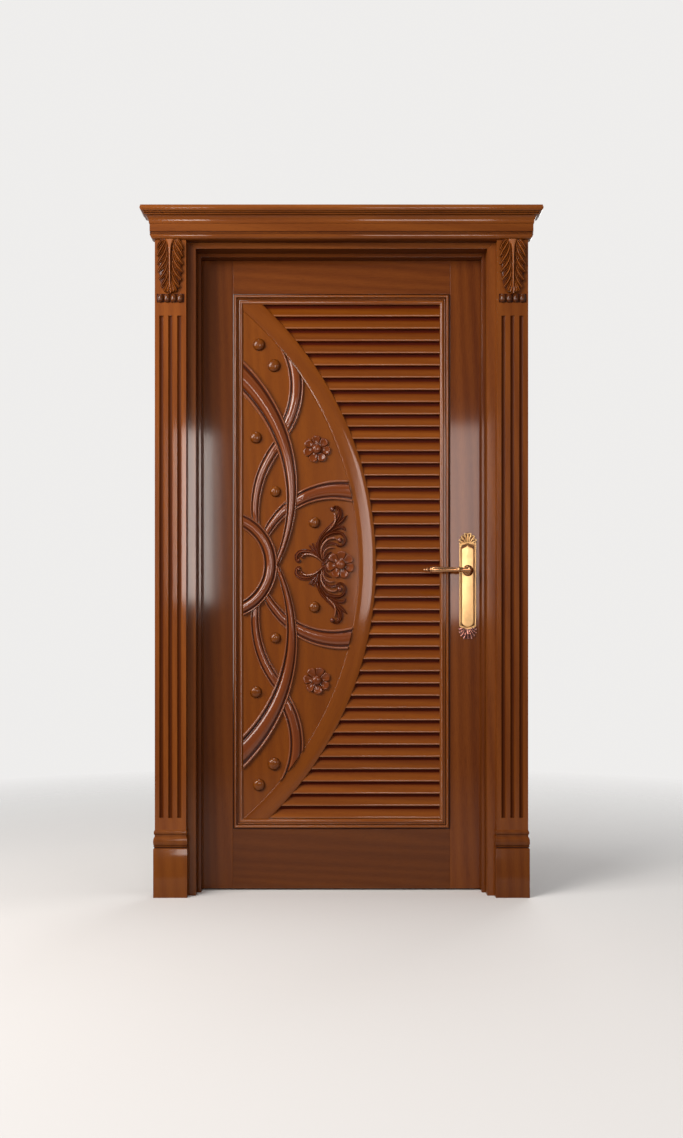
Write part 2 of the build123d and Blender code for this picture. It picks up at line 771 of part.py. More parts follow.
# Leaf scrolls either side of the centre flower
scroll_curls = [
    dome(moon_point(across, up), radius * carving_size, scroll_curl_height, curl_sides)
    for across, up, radius in scroll_curl_shares
]
with BuildPart() as leaf_scrolls:
    for root, outer, tip, inner in scroll_stroke_shares:
        with BuildSketch(facing(board_face)) as stroke:
            with BuildLine():
                root, outer, tip, inner = (moon_point(*place) for place in (root, outer, tip, inner))
                Polyline(*bowed(root, outer, tip), *bowed(tip, inner, root), close=True)
            make_face()
        extrude(stroke.sketch, amount=scroll_height)
    add(scroll_curls)
    add(flowers.part, mode=Mode.SUBTRACT)
    block(
        inner_left, inner_right, moon_height + joint_line, inner_top,
        board_face - scroll_curl_height, board_face, Mode.INTERSECT,
    )
    mirror(about=Plane.XY.offset(moon_height))
save(leaf_scrolls, "leaf_scrolls")

# Slats stepped like boarding, from the curved rail to the moulding
slat_count = round((inner_top - inner_bottom) / slat_pitch)
slat_step = (inner_top - inner_bottom) / slat_count
slat_faces = []
for row in range(slat_count):
    slat_end = Plane(
        origin=(inner_right, panel_face, inner_bottom + row * slat_step), x_dir=(0, -1, 0), z_dir=(-1, 0, 0)
    )
    with BuildSketch(slat_end) as slat:
        with BuildLine():
            Polyline(
                (slat_nose_height, slat_nose_bevel),
                (slat_root_height, slat_step - slat_groove),
                (0, slat_step - slat_groove),
                (0, 0),
                (slat_nose_height - slat_nose_bevel, 0),
                close=True,
            )
        make_face()
    slat_faces.append(slat.sketch.face())
with BuildPart() as slats:
    extrude(slat_faces, amount=inner_right - inner_left)
    with BuildSketch(facing(panel_face)) as moon_disc:
        with Locations(moon_centre):
            Circle(moon_radius + joint_line)
    extrude(moon_disc.sketch, amount=slat_nose_height + overrun, mode=Mode.SUBTRACT)
save(slats, "slats")

# Handle plates: a base with a scalloped crest at each end, and a raised panel with pointed ends
plate_middle = handle_height + plate_rise
for out, face, name in ((-1, leaf_front, "front_plate"), (1, leaf_back, "rear_plate")):
    plate_plane = Plane(origin=(spindle_x, face, plate_middle), x_dir=(1, 0, 0), z_dir=(0, -1, 0))
    with BuildPart() as plate:
        for rows, height in (
            (plate_base_shares, plate_thickness),
            (plate_panel_shares, plate_thickness + plate_panel_height),
        ):
            quarter = [(row[0] * plate_width / 2, row[1] * plate_length / 2) for row in rows]
            with BuildSketch(plate_plane) as outline:
                with BuildLine():
                    Polyline((0, 0), *quarter, close=True)
                make_face()
                mirror(about=Plane.YZ)
                mirror(about=Plane.XZ)
            extrude(outline.sketch, amount=-out * height)
        bore(spindle_x, handle_height, neck_radius + running_gap, face - plate_reach, face + plate_reach)
    save(plate, name)

# Mortise lock in the lock stile
with BuildPart() as lock_case:
    block(*case_box)
    block(*spindle_hole, Mode.SUBTRACT)
    block(latch_back - latch_travel - moving_gap, case_right, *latch_slot, Mode.SUBTRACT)
save(lock_case, "lock_case")

with BuildPart() as lock_face_plate:
    block(*face_plate_box)
    block(case_right, leaf_right, *latch_slot, Mode.SUBTRACT)
save(lock_face_plate, "lock_face_plate")

with BuildPart() as latch_bolt:
    with BuildSketch(Plane.XY.offset(handle_height - latch_height / 2)):
        with BuildLine():
            Polyline(
                (latch_back, leaf_middle - latch_width / 2),
                (leaf_right + latch_throw - latch_width * latch_bevel_share, leaf_middle - latch_width / 2),
                (leaf_right + latch_throw, leaf_middle - latch_width / 2 + latch_width * latch_bevel_share),
                (leaf_right + latch_throw, leaf_middle + latch_width / 2),
                (latch_back, leaf_middle + latch_width / 2),
                close=True,
            )
        make_face()
    extrude(amount=latch_height)
save(latch_bolt, "latch_bolt")

with BuildPart() as strike_plate:
    block(
        half_opening, half_opening + strike_thickness,
        handle_height - strike_height / 2, handle_height + strike_height / 2,
        leaf_middle - latch_width / 2 - strike_lip, lining_back,
    )
    block(half_opening, half_opening + strike_thickness, *latch_slot, Mode.SUBTRACT)
save(strike_plate, "strike_plate")

# Square spindle
with BuildPart() as spindle:
    block(*spindle_box)
save(spindle, "spindle")

# Levers: a round neck, a stepped collar against the plate, and an eight-sided grip from crossed outlines
for out, face, name in ((-1, leaf_front, "front_lever"), (1, leaf_back, "rear_lever")):
    grip_y = face + out * (lever_projection - grip_radius)
    collar_seat = face + out * (plate_reach + moving_gap)
    elbow = (spindle_x, grip_y, handle_height)
    collar_plane = Plane(origin=(spindle_x, collar_seat, handle_height), x_dir=(1, 0, 0), z_dir=(0, out, 0))
    upper = [(along * lever_length, radius * grip_radius) for along, radius in lever_shares]
    lower = [(along, -radius) for along, radius in reversed(upper)]
    neck = sorted((face, grip_y))
    with BuildPart() as lever:
        for turn in lever_turns:
            view = Plane(origin=elbow, x_dir=(-1, 0, 0), z_dir=(0, cos(radians(turn)), sin(radians(turn))))
            with BuildSketch(view) as outline:
                with BuildLine():
                    Polyline(*upper, *lower, close=True)
                make_face()
            keep = Mode.INTERSECT if turn else Mode.ADD
            extrude(outline.sketch, amount=2 * grip_radius, both=True, mode=keep)
        bore(spindle_x, handle_height, neck_radius, neck[0], neck[1], Mode.ADD)
        for radius_share, lift_share in collar_shares:
            with BuildSketch(collar_plane) as ring:
                RegularPolygon(radius_share * collar_radius, collar_sides)
            extrude(ring.sketch, amount=lift_share * collar_height)
        block(*spindle_box, Mode.SUBTRACT)
    save(lever, name)

# Lift-off hinges: the jamb half carries the lower knuckle and the pin, the door half sits on it
pin_length = hinge_height / 2 + hinge_pin_reach
with BuildPart() as hinge_jamb_plates:
    for foot in hinge_feet:
        block(
            -half_opening - hinge_plate_thickness, -half_opening, foot, foot + hinge_height,
            leaf_back - hinge_plate_width, leaf_back,
        )
        block(
            -half_opening - hinge_plate_thickness, -half_opening, foot, foot + hinge_height / 2,
            leaf_back, hinge_y,
        )
        post(knuckle_radius, foot, foot + hinge_height / 2, sides=knuckle_sides)
        post(hinge_pin_radius, foot, foot + pin_length)
save(hinge_jamb_plates, "hinge_jamb_plates")

with BuildPart() as hinge_door_plates:
    for foot in hinge_feet:
        seat = foot + hinge_height / 2 + moving_gap
        block(
            leaf_left, leaf_left + hinge_plate_thickness, foot, foot + hinge_height,
            leaf_back - hinge_plate_width, leaf_back,
        )
        block(leaf_left, leaf_left + hinge_plate_thickness, seat, foot + hinge_height, leaf_back, hinge_y)
        post(knuckle_radius, seat, foot + hinge_height, sides=knuckle_sides)
        post(hinge_pin_radius + running_gap, seat, foot + pin_length + moving_gap, Mode.SUBTRACT)
save(hinge_door_plates, "hinge_door_plates")
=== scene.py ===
"""Looks of the carved door: varnished wood, sculpted ornament, brass handle set, floor, light and camera."""

import math
from collections import namedtuple

import bmesh
import bpy
import numpy as np
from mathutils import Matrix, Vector


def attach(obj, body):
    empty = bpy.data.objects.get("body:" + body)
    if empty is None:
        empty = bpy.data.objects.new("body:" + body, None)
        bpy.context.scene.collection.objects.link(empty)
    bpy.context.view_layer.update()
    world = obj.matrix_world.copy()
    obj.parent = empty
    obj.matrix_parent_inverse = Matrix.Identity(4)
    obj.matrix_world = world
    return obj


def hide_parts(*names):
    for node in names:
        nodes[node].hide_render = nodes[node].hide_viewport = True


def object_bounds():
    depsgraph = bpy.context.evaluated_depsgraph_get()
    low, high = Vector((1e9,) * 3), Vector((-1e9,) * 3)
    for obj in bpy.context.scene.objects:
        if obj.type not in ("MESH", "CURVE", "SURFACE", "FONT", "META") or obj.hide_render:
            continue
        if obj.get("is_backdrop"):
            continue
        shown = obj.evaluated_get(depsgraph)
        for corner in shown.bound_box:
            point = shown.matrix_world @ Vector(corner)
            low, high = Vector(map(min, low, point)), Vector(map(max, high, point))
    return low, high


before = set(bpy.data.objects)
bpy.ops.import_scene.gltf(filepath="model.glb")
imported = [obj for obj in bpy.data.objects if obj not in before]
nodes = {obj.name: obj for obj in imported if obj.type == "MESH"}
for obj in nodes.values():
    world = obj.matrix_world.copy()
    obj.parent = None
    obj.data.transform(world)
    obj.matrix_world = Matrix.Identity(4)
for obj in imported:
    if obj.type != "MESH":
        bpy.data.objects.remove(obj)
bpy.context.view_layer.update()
rng = np.random.default_rng(7)

# Planes and sizes of the CAD part, in metres
MM = 0.001
wall_face = -0.0625
casing_front = -0.0875
casing_middle = 0.536
casing_outer = 0.585
flute_depths = (-0.0868, -0.0835)
flutes_half = 0.041
cornice_bottom = 2.060
cornice_height = 0.097
cornice_reach = 0.041
plinth_height = 0.212
plinth_half = 0.049
plinth_reach = 0.004
leaf_front = 0.0185
leaf_middle = 0.0405
panel_face = 0.0345
panel_back = 0.0485
board_face = 0.0225
panel_x = 0.350
panel_low = 0.197
panel_high = 1.922
moulding_width = 0.033
inner_left = -0.317
moon_reach = 0.429
moon_height = 1.0495
moon_centre = np.array([-1.032, 1.0495])
field_radius = 1.0867
rail_inner = 1.0870
rail_outer = 1.1440
rail_tall = 0.0150
spindle_x = 0.407
handle_height = 1.030
plate_middle = 0.981
plate_ground = leaf_front - 0.0018
slat_start = 0.230
slat_pitch = 0.0395
slat_count = 42
hinge_feet = (0.185, 0.970, 1.755)
jamb_x = 0.460
leaf_edge_x = 0.457
screw_radius = 0.0034
lock_screw_radius = 0.0036
rose_lift = 0.0052
elbow_lift = 0.0545
leaf_half = 0.043
bead_pitch = 0.0205
bead_drop = 0.1828
shade_bed_drops = (0.1955, 0.1690)
shade_bed_lift = 0.0012

# Shared by many pieces: how far a foot sinks into its ground, the way to the viewer, the tone of plain wood,
# with neither painted shade nor painted highlight
sink = 0.0005
TOWARD = (0, -1, 0)
PLAIN = 0.84


# Material nodes
class Graph:
    """The nodes of a material or of the world, with short calls for making and linking them."""

    def __init__(self, owner):
        owner.use_nodes = True
        self.owner = owner
        self.tree = owner.node_tree

    def put(self, socket, value):
        if isinstance(value, bpy.types.NodeSocket):
            self.tree.links.new(value, socket)
        elif socket.type == "RGBA":
            socket.default_value = (*value, 1.0)
        else:
            socket.default_value = value

    def fill(self, node, values):
        for key, value in values.items():
            self.put(node.inputs[key], value)

    def shade(self, values):
        self.fill(self.tree.nodes["Principled BSDF"], values)

    def node(self, kind, values=None, **settings):
        """A new node, given as its outputs."""
        made = self.tree.nodes.new(kind)
        for key, value in settings.items():
            setattr(made, key, value)
        self.fill(made, values or {})
        return made.outputs

    def math(self, operation, *values):
        return self.node("ShaderNodeMath", dict(enumerate(values)), operation=operation)[0]

    def vectors(self, operation, *values):
        return self.node("ShaderNodeVectorMath", dict(enumerate(values)), operation=operation)

    def remap(self, value, low, high, out_low, out_high):
        return self.node("ShaderNodeMapRange", dict(enumerate((value, low, high, out_low, out_high))))[0]

    def mix(self, factor, first, second, kind="MIX"):
        values = {0: factor, 6: first, 7: second}
        return self.node("ShaderNodeMix", values, data_type="RGBA", blend_type=kind)[2]

    def noise(self, vector, scale, detail, roughness=0.5):
        values = {"Vector": vector, "Scale": scale, "Detail": detail, "Roughness": roughness}
        return self.node("ShaderNodeTexNoise", values)

    def bump(self, strength, distance, height):
        return self.node("ShaderNodeBump", {"Strength": strength, "Distance": distance, "Height": height})[0]

    def ramp(self, factor, stops):
        made = self.tree.nodes.new("ShaderNodeValToRGB")
        self.put(made.inputs["Fac"], factor)
        elements = made.color_ramp.elements
        while len(elements) < len(stops):
            elements.new(0.5)
        for element, (place, colour) in zip(elements, stops):
            element.position = place
            element.color = (*colour, 1.0)
        return made.outputs["Color"]

    def spot(self):
        return self.node("ShaderNodeTexCoord")["Object"]

    def place(self):
        """The three object coordinates, in metres."""
        return self.node("ShaderNodeSeparateXYZ", {0: self.spot()})

    def attribute(self, name):
        return self.node("ShaderNodeAttribute", attribute_name=name)

    def seen(self):
        """1 for rays from the camera, straight, mirrored or through glass, and 0 for other light."""
        rays = self.node("ShaderNodeLightPath")
        indirect = self.math("MAXIMUM", rays["Is Glossy Ray"], rays["Is Transmission Ray"])
        return self.math("MAXIMUM", rays["Is Camera Ray"], indirect)


def toned(colour, factor):
    """A colour made lighter or darker, by one factor or by one for each channel."""
    return tuple(float(c) for c in np.multiply(colour, factor))


GRAIN = {"X": (0.06, 1.0, 1.0), "Y": (1.0, 0.06, 1.0), "Z": (1.0, 1.0, 0.06)}
SEED_STEP = (1.37, 2.11, 0.73)
WARP_SCALE, RING_SCALE, SLOW_SCALE, RIPPLE_SCALE = 4.0, 16.0, 7.0, 9.0
FIBRE_SCALE, PORE_SCALE = 420.0, 900.0
FLUTE_SHADE = 0.74
COAT_ROUGHNESS = 0.075


def grain_vector(g, mode, seed):
    """Coordinates in metres, squeezed along the grain: by an axis, round the half moon, or from the mesh."""
    if mode == "mesh":
        source = g.attribute("grain_co")["Vector"]
    elif mode == "round":
        place = g.place()
        across = g.math("SUBTRACT", place[0], float(moon_centre[0]))
        up = g.math("SUBTRACT", place[2], float(moon_centre[1]))
        radius = g.math("SQRT", g.math("ADD", g.math("POWER", across, 2.0), g.math("POWER", up, 2.0)))
        turn = g.math("MULTIPLY", g.math("ARCTAN2", up, across), field_radius)
        source = g.node("ShaderNodeCombineXYZ", {0: turn, 1: place[1], 2: radius})[0]
    else:
        source = g.spot()
    shift = tuple(seed * step for step in SEED_STEP)
    values = {"Vector": source, "Location": shift, "Scale": GRAIN.get(mode, GRAIN["X"])}
    return g.node("ShaderNodeMapping", values)[0]


def wood(name, middle, mode, seed, coat=0.45, roughness=0.42, contrast=1.0, relief=None, crest=None,
         slats=False, hollow=False, bare_shade_depth=None):
    """Varnished wood: growth rings, fibres, pores and slow tone changes under a glossy coat.

    relief is the colour of painted shade in carved hollows and crest that of painted highlight on ridges.
    slats gives each slat its own tone, hollow paints shade into the pilasters' flutes, and bare_shade_depth
    is the depth in front of which there is no coat and the wood is painted in the shade colour of the slat
    gaps.
    """
    dark = toned(middle, (0.62, 0.50, 0.42))
    light = toned(middle, (1.36, 1.50, 1.70))
    g = Graph(bpy.data.materials.new(name))
    vector = grain_vector(g, mode, seed)
    if slats:
        board = g.math("FLOOR", g.math("DIVIDE", g.math("SUBTRACT", g.place()[2], slat_start), slat_pitch))
        random_tone = g.node("ShaderNodeTexWhiteNoise", {"W": board}, noise_dimensions="1D")
        offset = g.vectors("MULTIPLY", random_tone["Color"], (3.0, 3.0, 3.0))[0]
        vector = g.vectors("ADD", vector, offset)[0]
    warp = g.noise(vector, WARP_SCALE, 2.0)["Color"]
    bent = g.vectors("MULTIPLY_ADD", warp, (0.10, 0.10, 0.10), vector)[0]
    rings = g.node(
        "ShaderNodeTexWave",
        {"Vector": bent, "Scale": RING_SCALE, "Distortion": 3.0, "Detail": 2.0, "Detail Scale": 1.4},
        wave_type="BANDS", bands_direction="DIAGONAL", wave_profile="SIN",
    )["Fac"]
    fibre = g.noise(vector, FIBRE_SCALE, 3.0, 0.6)["Fac"]
    pores = g.noise(vector, PORE_SCALE, 1.0)["Fac"]
    slow = g.noise(vector, SLOW_SCALE, 2.0)["Fac"]
    parts = ((rings, 0.20), (fibre, 0.42), (slow, 0.70))
    tone = 0.5 - 0.5 * contrast * sum(share for _, share in parts)
    for value, share in parts:
        tone = g.math("MULTIPLY_ADD", value, share * contrast, tone)
    colour = g.ramp(tone, [(0.20, dark), (0.5, middle), (0.80, light)])
    colour = g.mix(g.remap(pores, 0.60, 0.74, 0.0, 0.30), colour, toned(dark, 0.5))
    if slats:
        board_tone = g.remap(random_tone["Value"], 0.0, 1.0, 0.90, 1.08)
        tint = g.node("ShaderNodeCombineXYZ", dict.fromkeys(range(3), board_tone))[0]
        colour = g.mix(1.0, colour, tint, "MULTIPLY")
    # Painted shade in carved hollows, following the relief values, and painted highlight on the ridges
    if relief:
        height = g.attribute("relief")["Fac"]
        colour = g.mix(g.remap(height, 0.0, 0.75, 0.88, 0.0), colour, relief)
        top, share = (crest, 0.85) if crest else (toned(light, 1.2), 0.35)
        colour = g.mix(g.remap(height, 0.86, 1.0, 0.0, share), colour, top)
    gloss = coat
    # Painted shade in the pilasters' flutes, which also take less coat
    if hollow:
        place = g.place()
        aside = g.math("ABSOLUTE", g.math("SUBTRACT", g.math("ABSOLUTE", place[0]), casing_middle))
        within = g.math("LESS_THAN", aside, flutes_half)
        flute_shade_share = g.math("MULTIPLY", within, g.remap(place[1], *flute_depths, 0.0, FLUTE_SHADE))
        colour = g.mix(flute_shade_share, colour, HOLLOW_SHADE)
        gloss = g.math("MULTIPLY_ADD", flute_shade_share, -coat / FLUTE_SHADE, coat)
    # Painted shade: in front of that depth the wood takes the dark colour of the slat gaps and no coat
    if bare_shade_depth:
        coated = g.remap(g.place()[1], bare_shade_depth, bare_shade_depth + 0.002, 0.0, 1.0)
        colour = g.mix(coated, SLAT_GAP_SHADE, colour)
        gloss = g.math("MULTIPLY", coated, coat)
    smear = g.noise(vector, RIPPLE_SCALE, 2.0)["Fac"]
    g.shade({
        "Base Color": colour,
        "Roughness": g.remap(fibre, 0.2, 0.8, roughness - 0.06, roughness + 0.08),
        "Specular IOR Level": 0.05,
        "Normal": g.bump(0.10, 0.0005, fibre),
        "Coat Weight": gloss,
        "Coat Roughness": COAT_ROUGHNESS,
        "Coat Normal": g.bump(0.05, 0.004, smear),
    })
    return g.owner


def metal(name, colour, roughness, brushed=None, dark=None, patina=0.0):
    """Metal with fine scratches and uneven polish; dark is the tone of its hollows and patina its share."""
    g = Graph(bpy.data.materials.new(name))
    spot = g.spot()
    stretch = {"X": (40.0, 900.0, 900.0), "Z": (900.0, 900.0, 40.0), None: (420.0, 420.0, 420.0)}[brushed]
    lines = g.node("ShaderNodeMapping", {"Vector": spot, "Scale": stretch})[0]
    scratches = g.noise(lines, 1.0, 3.0)["Fac"]
    cloud = g.noise(spot, 34.0, 3.0)["Fac"]
    tone = g.ramp(cloud, [(0.32, toned(colour, 0.82)), (0.62, colour)])
    if dark:
        tone = g.mix(g.remap(g.attribute("relief")["Fac"], 0.05, 0.7, patina, 0.0), tone, dark)
    g.shade({
        "Base Color": tone,
        "Metallic": 1.0,
        "Roughness": g.remap(scratches, 0.25, 0.75, roughness - 0.05, roughness + 0.09),
        "Normal": g.bump(0.06, 0.0002, scratches),
    })
    return g.owner


# Tones of the timber
STILE = (0.112, 0.0270, 0.0028)
FIELD = (0.165, 0.0405, 0.0020)
SLAT = (0.172, 0.0430, 0.0034)
CASING = (0.185, 0.0480, 0.0050)
LINING = (0.132, 0.0350, 0.0045)
CARVED = (0.148, 0.0305, 0.0030)
ORNAMENT = (0.112, 0.0205, 0.0040)
# Painted shade: the dark of carved hollows and flutes, and that of the gaps between the slats and the panel
# behind them
HOLLOW_SHADE = (0.030, 0.0036, 0.0008)
SLAT_GAP_SHADE = (0.072, 0.0070, 0.0010)
# Painted highlights on slat noses, hanging-leaf lobes and carved ridges
NOSE_HIGHLIGHT = (0.270, 0.1050, 0.0450)
RIDGE_HIGHLIGHT = (0.230, 0.0800, 0.0340)
# Materials with painted shade in their hollows and grooves
CARVING = {"relief": HOLLOW_SHADE, "contrast": 0.6}
PROFILE = {"relief": HOLLOW_SHADE, "contrast": 0.7}

stile_z = wood("stile_upright", STILE, "Z", 1, coat=0.38, contrast=0.75)
# Painted light: the lock stile and the top rail are lighter copies of the stile tone; painted shade: the
# bottom rail is a darker copy
lit_lock_stile_z = wood("stile_lock_side_lit", toned(STILE, 1.15), "Z", 2, coat=0.40)
lit_top_rail_x = wood("rail_top_lit", toned(STILE, 1.15), "X", 3, contrast=0.75)
shaded_bottom_rail_x = wood("rail_bottom_shaded", toned(STILE, 0.82), "X", 25, coat=0.36, contrast=0.75)
# The panel's face behind the slats is painted in the shade colour of the gaps
panel_back_z = wood("panel_plain", STILE, "Z", 4, bare_shade_depth=0.0400)
field_z = wood("half_moon_field", FIELD, "Z", 5, contrast=0.45)
# Slats: painted shade in the gaps and under the noses, painted highlight on the noses
slat_x = wood("slat_wood", SLAT, "X", 6, contrast=0.6, relief=SLAT_GAP_SHADE, crest=NOSE_HIGHLIGHT, slats=True)
arc_wood = wood("curved_rail_wood", FIELD, "round", 7, contrast=0.45)
moulding_z = wood("moulding_upright", toned(SLAT, 0.9), "Z", 8, coat=0.6, **CARVING)
moulding_x = wood("moulding_level", SLAT, "X", 9, coat=0.6, **CARVING)
casing_z = wood("casing_upright", CASING, "Z", 10, contrast=0.7, hollow=True)
# Painted shade: the right pilaster is a darker copy of the casing tone
shaded_casing_right_z = wood("casing_upright_right_shaded", toned(CASING, 0.9), "Z", 11, contrast=0.7, hollow=True)
plinth_z = wood("plinth_wood", toned(CASING, 0.72), "Z", 12, coat=0.32, **PROFILE)
cornice_x = wood("cornice_level", toned(CASING, 0.88), "X", 13, **PROFILE)
cornice_y = wood("cornice_return", toned(CASING, 0.88), "Y", 14, **PROFILE)
lining_z = wood("lining_upright", LINING, "Z", 15)
# Painted light: the lock-side lining is a lighter copy of the lining tone
lit_lock_lining_z = wood("lining_lock_side_lit", toned(LINING, 1.25), "Z", 26)
lining_x = wood("lining_level", LINING, "X", 16)
stop_z = wood("stop_upright", STILE, "Z", 17)
stop_x = wood("stop_level", STILE, "X", 18)
band_wood = wood("carved_band_wood", CARVED, "mesh", 19, coat=0.80, crest=RIDGE_HIGHLIGHT, **CARVING)
ornament_wood = wood("carved_ornament_wood", ORNAMENT, "mesh", 20, coat=0.80, crest=RIDGE_HIGHLIGHT, **CARVING)
flower_wood = wood("carved_flower_wood", toned(CARVED, 0.95), "mesh", 24, coat=0.5, **CARVING)
button_wood = wood("turned_button_wood", toned(FIELD, 0.85), "mesh", 21, coat=0.5, **CARVING)
leaf_carving = wood("casing_leaf_wood", toned(CASING, 1.05), "mesh", 22, coat=0.22, crest=NOSE_HIGHLIGHT, **CARVING)
bead_wood = wood("casing_bead_wood", toned(STILE, 0.7), "mesh", 23, roughness=0.30, **PROFILE)

plate_brass = metal("plate_brass", (0.80, 0.53, 0.245), 0.36, "Z", (0.060, 0.020, 0.008), 0.95)
shell_copper = metal("plate_shell_copper", (0.58, 0.30, 0.24), 0.20, None, (0.020, 0.005, 0.004), 0.97)
lever_brass = metal("lever_brass", (0.48, 0.245, 0.115), 0.22, "X", (0.06, 0.022, 0.012), 0.8)
lock_brass = metal("lock_brass", (0.66, 0.45, 0.20), 0.27, "Z")
hinge_steel = metal("hinge_steel", (0.52, 0.50, 0.47), 0.30, "Z")
screw_brass = metal("screw_brass", (0.60, 0.40, 0.18), 0.26, None, (0.06, 0.03, 0.012), 0.9)


# Mesh helpers
def placed(name, data):
    """A new object in the scene."""
    made = bpy.data.objects.new(name, data)
    bpy.context.scene.collection.objects.link(made)
    return made


class Shape:
    """Vertices, faces and per-vertex values of one piece while it is put together."""

    def __init__(self):
        # relief holds for each vertex the share of painted shade or painted highlight on wood, and of patina
        # on metal
        self.points, self.faces, self.relief, self.grain, self.slots = [], [], [], [], []

    def add(self, points, faces, relief, grain=None, slot=0):
        """More faces; without grain coordinates of their own they take their places in space."""
        start = sum(len(p) for p in self.points)
        self.points.append(np.asarray(points, float))
        self.faces += [tuple(int(i) + start for i in face) for face in faces]
        self.relief.append(np.broadcast_to(np.asarray(relief, float), (len(points),)))
        self.grain.append(np.asarray(points if grain is None else grain, float))
        self.slots += [slot] * len(faces)

    def mirror_y(self, plane):
        for block in self.points:
            block[:, 1] = 2 * plane - block[:, 1]

    def piece(self, name, materials, body, slot, replaces=(), sharp=40.0, weld=False):
        mesh = bpy.data.meshes.new(name)
        mesh.from_pydata(np.concatenate(self.points).tolist(), [], self.faces)
        for label, values, kind, key in (
            ("relief", self.relief, "FLOAT", "value"),
            ("grain_co", self.grain, "FLOAT_VECTOR", "vector"),
        ):
            attribute = mesh.attributes.new(label, kind, "POINT")
            attribute.data.foreach_set(key, np.concatenate(values).astype(np.float32).ravel())
        mesh.polygons.foreach_set("material_index", np.array(self.slots, np.int32))
        made = placed(name, mesh)
        for material in materials:
            mesh.materials.append(material)
        tidy(mesh, sharp, weld)
        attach(made, body)
        if replaces:
            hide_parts(*replaces)


def tidy(mesh, sharp, weld):
    """Point the faces outwards, shade them smooth and keep the edges over an angle sharp."""
    work = bmesh.new()
    work.from_mesh(mesh)
    if weld:
        bmesh.ops.remove_doubles(work, verts=work.verts, dist=0.000005)
    bmesh.ops.recalc_face_normals(work, faces=work.faces)
    limit = math.radians(sharp)
    for face in work.faces:
        face.smooth = True
    for edge in work.edges:
        edge.smooth = len(edge.link_faces) == 2 and edge.calc_face_angle(0.0) < limit
    work.to_mesh(mesh)
    work.free()


def grid_faces(rows, columns, closed=False, caps=False):
    """Quads of a grid of points, row by row; closed joins the last column to the first, caps fill ends."""
    span = columns if closed else columns - 1
    faces = []
    for r in range(rows - 1):
        low, high = r * columns, (r + 1) * columns
        faces += [(low + c, low + (c + 1) % columns, high + (c + 1) % columns, high + c) for c in range(span)]
    if caps:
        last = (rows - 1) * columns
        faces += [tuple(range(columns)), tuple(range(last, last + columns))[::-1]]
    return faces


def arc(centre, radius, start, end, steps):
    """Points of an arc in profile space; radius may differ across and up."""
    turn = np.radians(np.linspace(start, end, steps))
    return [(centre[0] + radius[0] * math.cos(t), centre[1] + radius[1] * math.sin(t)) for t in turn]


def dome(base, height, radius, steps, start=0.0, end=math.pi / 2 - 0.02, power=0.8):
    """Rows of (distance, radius) of a rounded head on a base, fuller than a ball for a power below 1."""
    turn = np.linspace(start, end, steps)
    return [(base + height * math.sin(t), radius * math.cos(t) ** power) for t in turn]


def on_circle(centre, radius, turn):
    """Points in X and Z on a circle; radius may be a value for each angle."""
    return np.stack([centre[0] + radius * np.cos(turn), centre[1] + radius * np.sin(turn)], axis=-1)


def at_depth(flat, y):
    """Points in X and Z, given a depth or one depth each."""
    return np.stack([flat[..., 0], np.broadcast_to(y, flat.shape[:-1]), flat[..., 1]], axis=-1)


def spline(points, count):
    """Smooth line through control points, sampled evenly by control-point steps."""
    control = np.asarray(points, float)
    control = np.vstack([2 * control[0] - control[1], control, 2 * control[-1] - control[-2]])
    out = []
    for t in np.linspace(0, len(control) - 3 - 1e-9, count):
        i = int(t)
        f = t - i
        a, b, c, d = control[i:i + 4]
        cubic = (2 * a - 5 * b + 4 * c - d) * f**2 + (3 * b - a - 3 * c + d) * f**3
        out.append(0.5 * (2 * b + (c - a) * f + cubic))
    return np.array(out)


def blend_values(values, count):
    """Values at even steps along a stroke, filled in between, as a column."""
    place = np.linspace(0, 1, len(values))
    return np.interp(np.linspace(0, 1, count), place, values)[:, None]


def fluted(flutes, columns, depth):
    """Cross-section of a carved stroke: places from -0.5 to 0.5 and heights up to 1, with hollow flutes."""
    place = -0.5 * np.cos(np.linspace(0, math.pi, columns))
    hull = np.sqrt(np.clip(1 - (2 * place) ** 4, 0, 1))
    wave = 1 - depth + depth * np.cos(2 * math.pi * flutes * (place + 0.5)) if flutes else 1.0
    return place, hull * wave


def run_grain(travel, across):
    """Grain coordinates of a strip: along it, across it, and a random start."""
    along, across = np.broadcast_arrays(travel[:, None], across)
    grain = np.stack([along.ravel(), across.ravel(), np.zeros(along.size)], axis=1)
    return grain + rng.uniform(0, 3, 3)


def stroke(shape, origin, points, widths, heights, ground, flutes, count, columns, slot=0, depth=0.30):
    """A carved stroke on a ground, which is a depth or a function of X and Z.

    Its points lie in X and Z from an origin; they, the widths and the heights are in millimetres.
    """
    line = spline(np.asarray(origin) + np.asarray(points, float) * MM, count)
    run = np.gradient(line, axis=0)
    run /= np.linalg.norm(run, axis=1)[:, None] + 1e-12
    side = np.stack([-run[:, 1], run[:, 0]], axis=1)
    place, height = fluted(flutes, columns, depth)
    across = place * blend_values(widths, count) * MM
    flat = line[:, None, :] + side[:, None, :] * across[..., None]
    base = ground(flat[..., 0], flat[..., 1]) if callable(ground) else ground
    verts = at_depth(flat, base - height * blend_values(heights, count) * MM).reshape(-1, 3)
    travel = np.concatenate([[0], np.cumsum(np.linalg.norm(np.diff(line, axis=0), axis=1))])
    faces = grid_faces(count, columns, caps=True)
    # The tone follows the height: on wood, painted shade in flutes and at the foot and painted highlight on
    # the ridges; on metal, patina in the low parts
    shape.add(verts, faces, np.tile(height, count), run_grain(travel, across), slot)


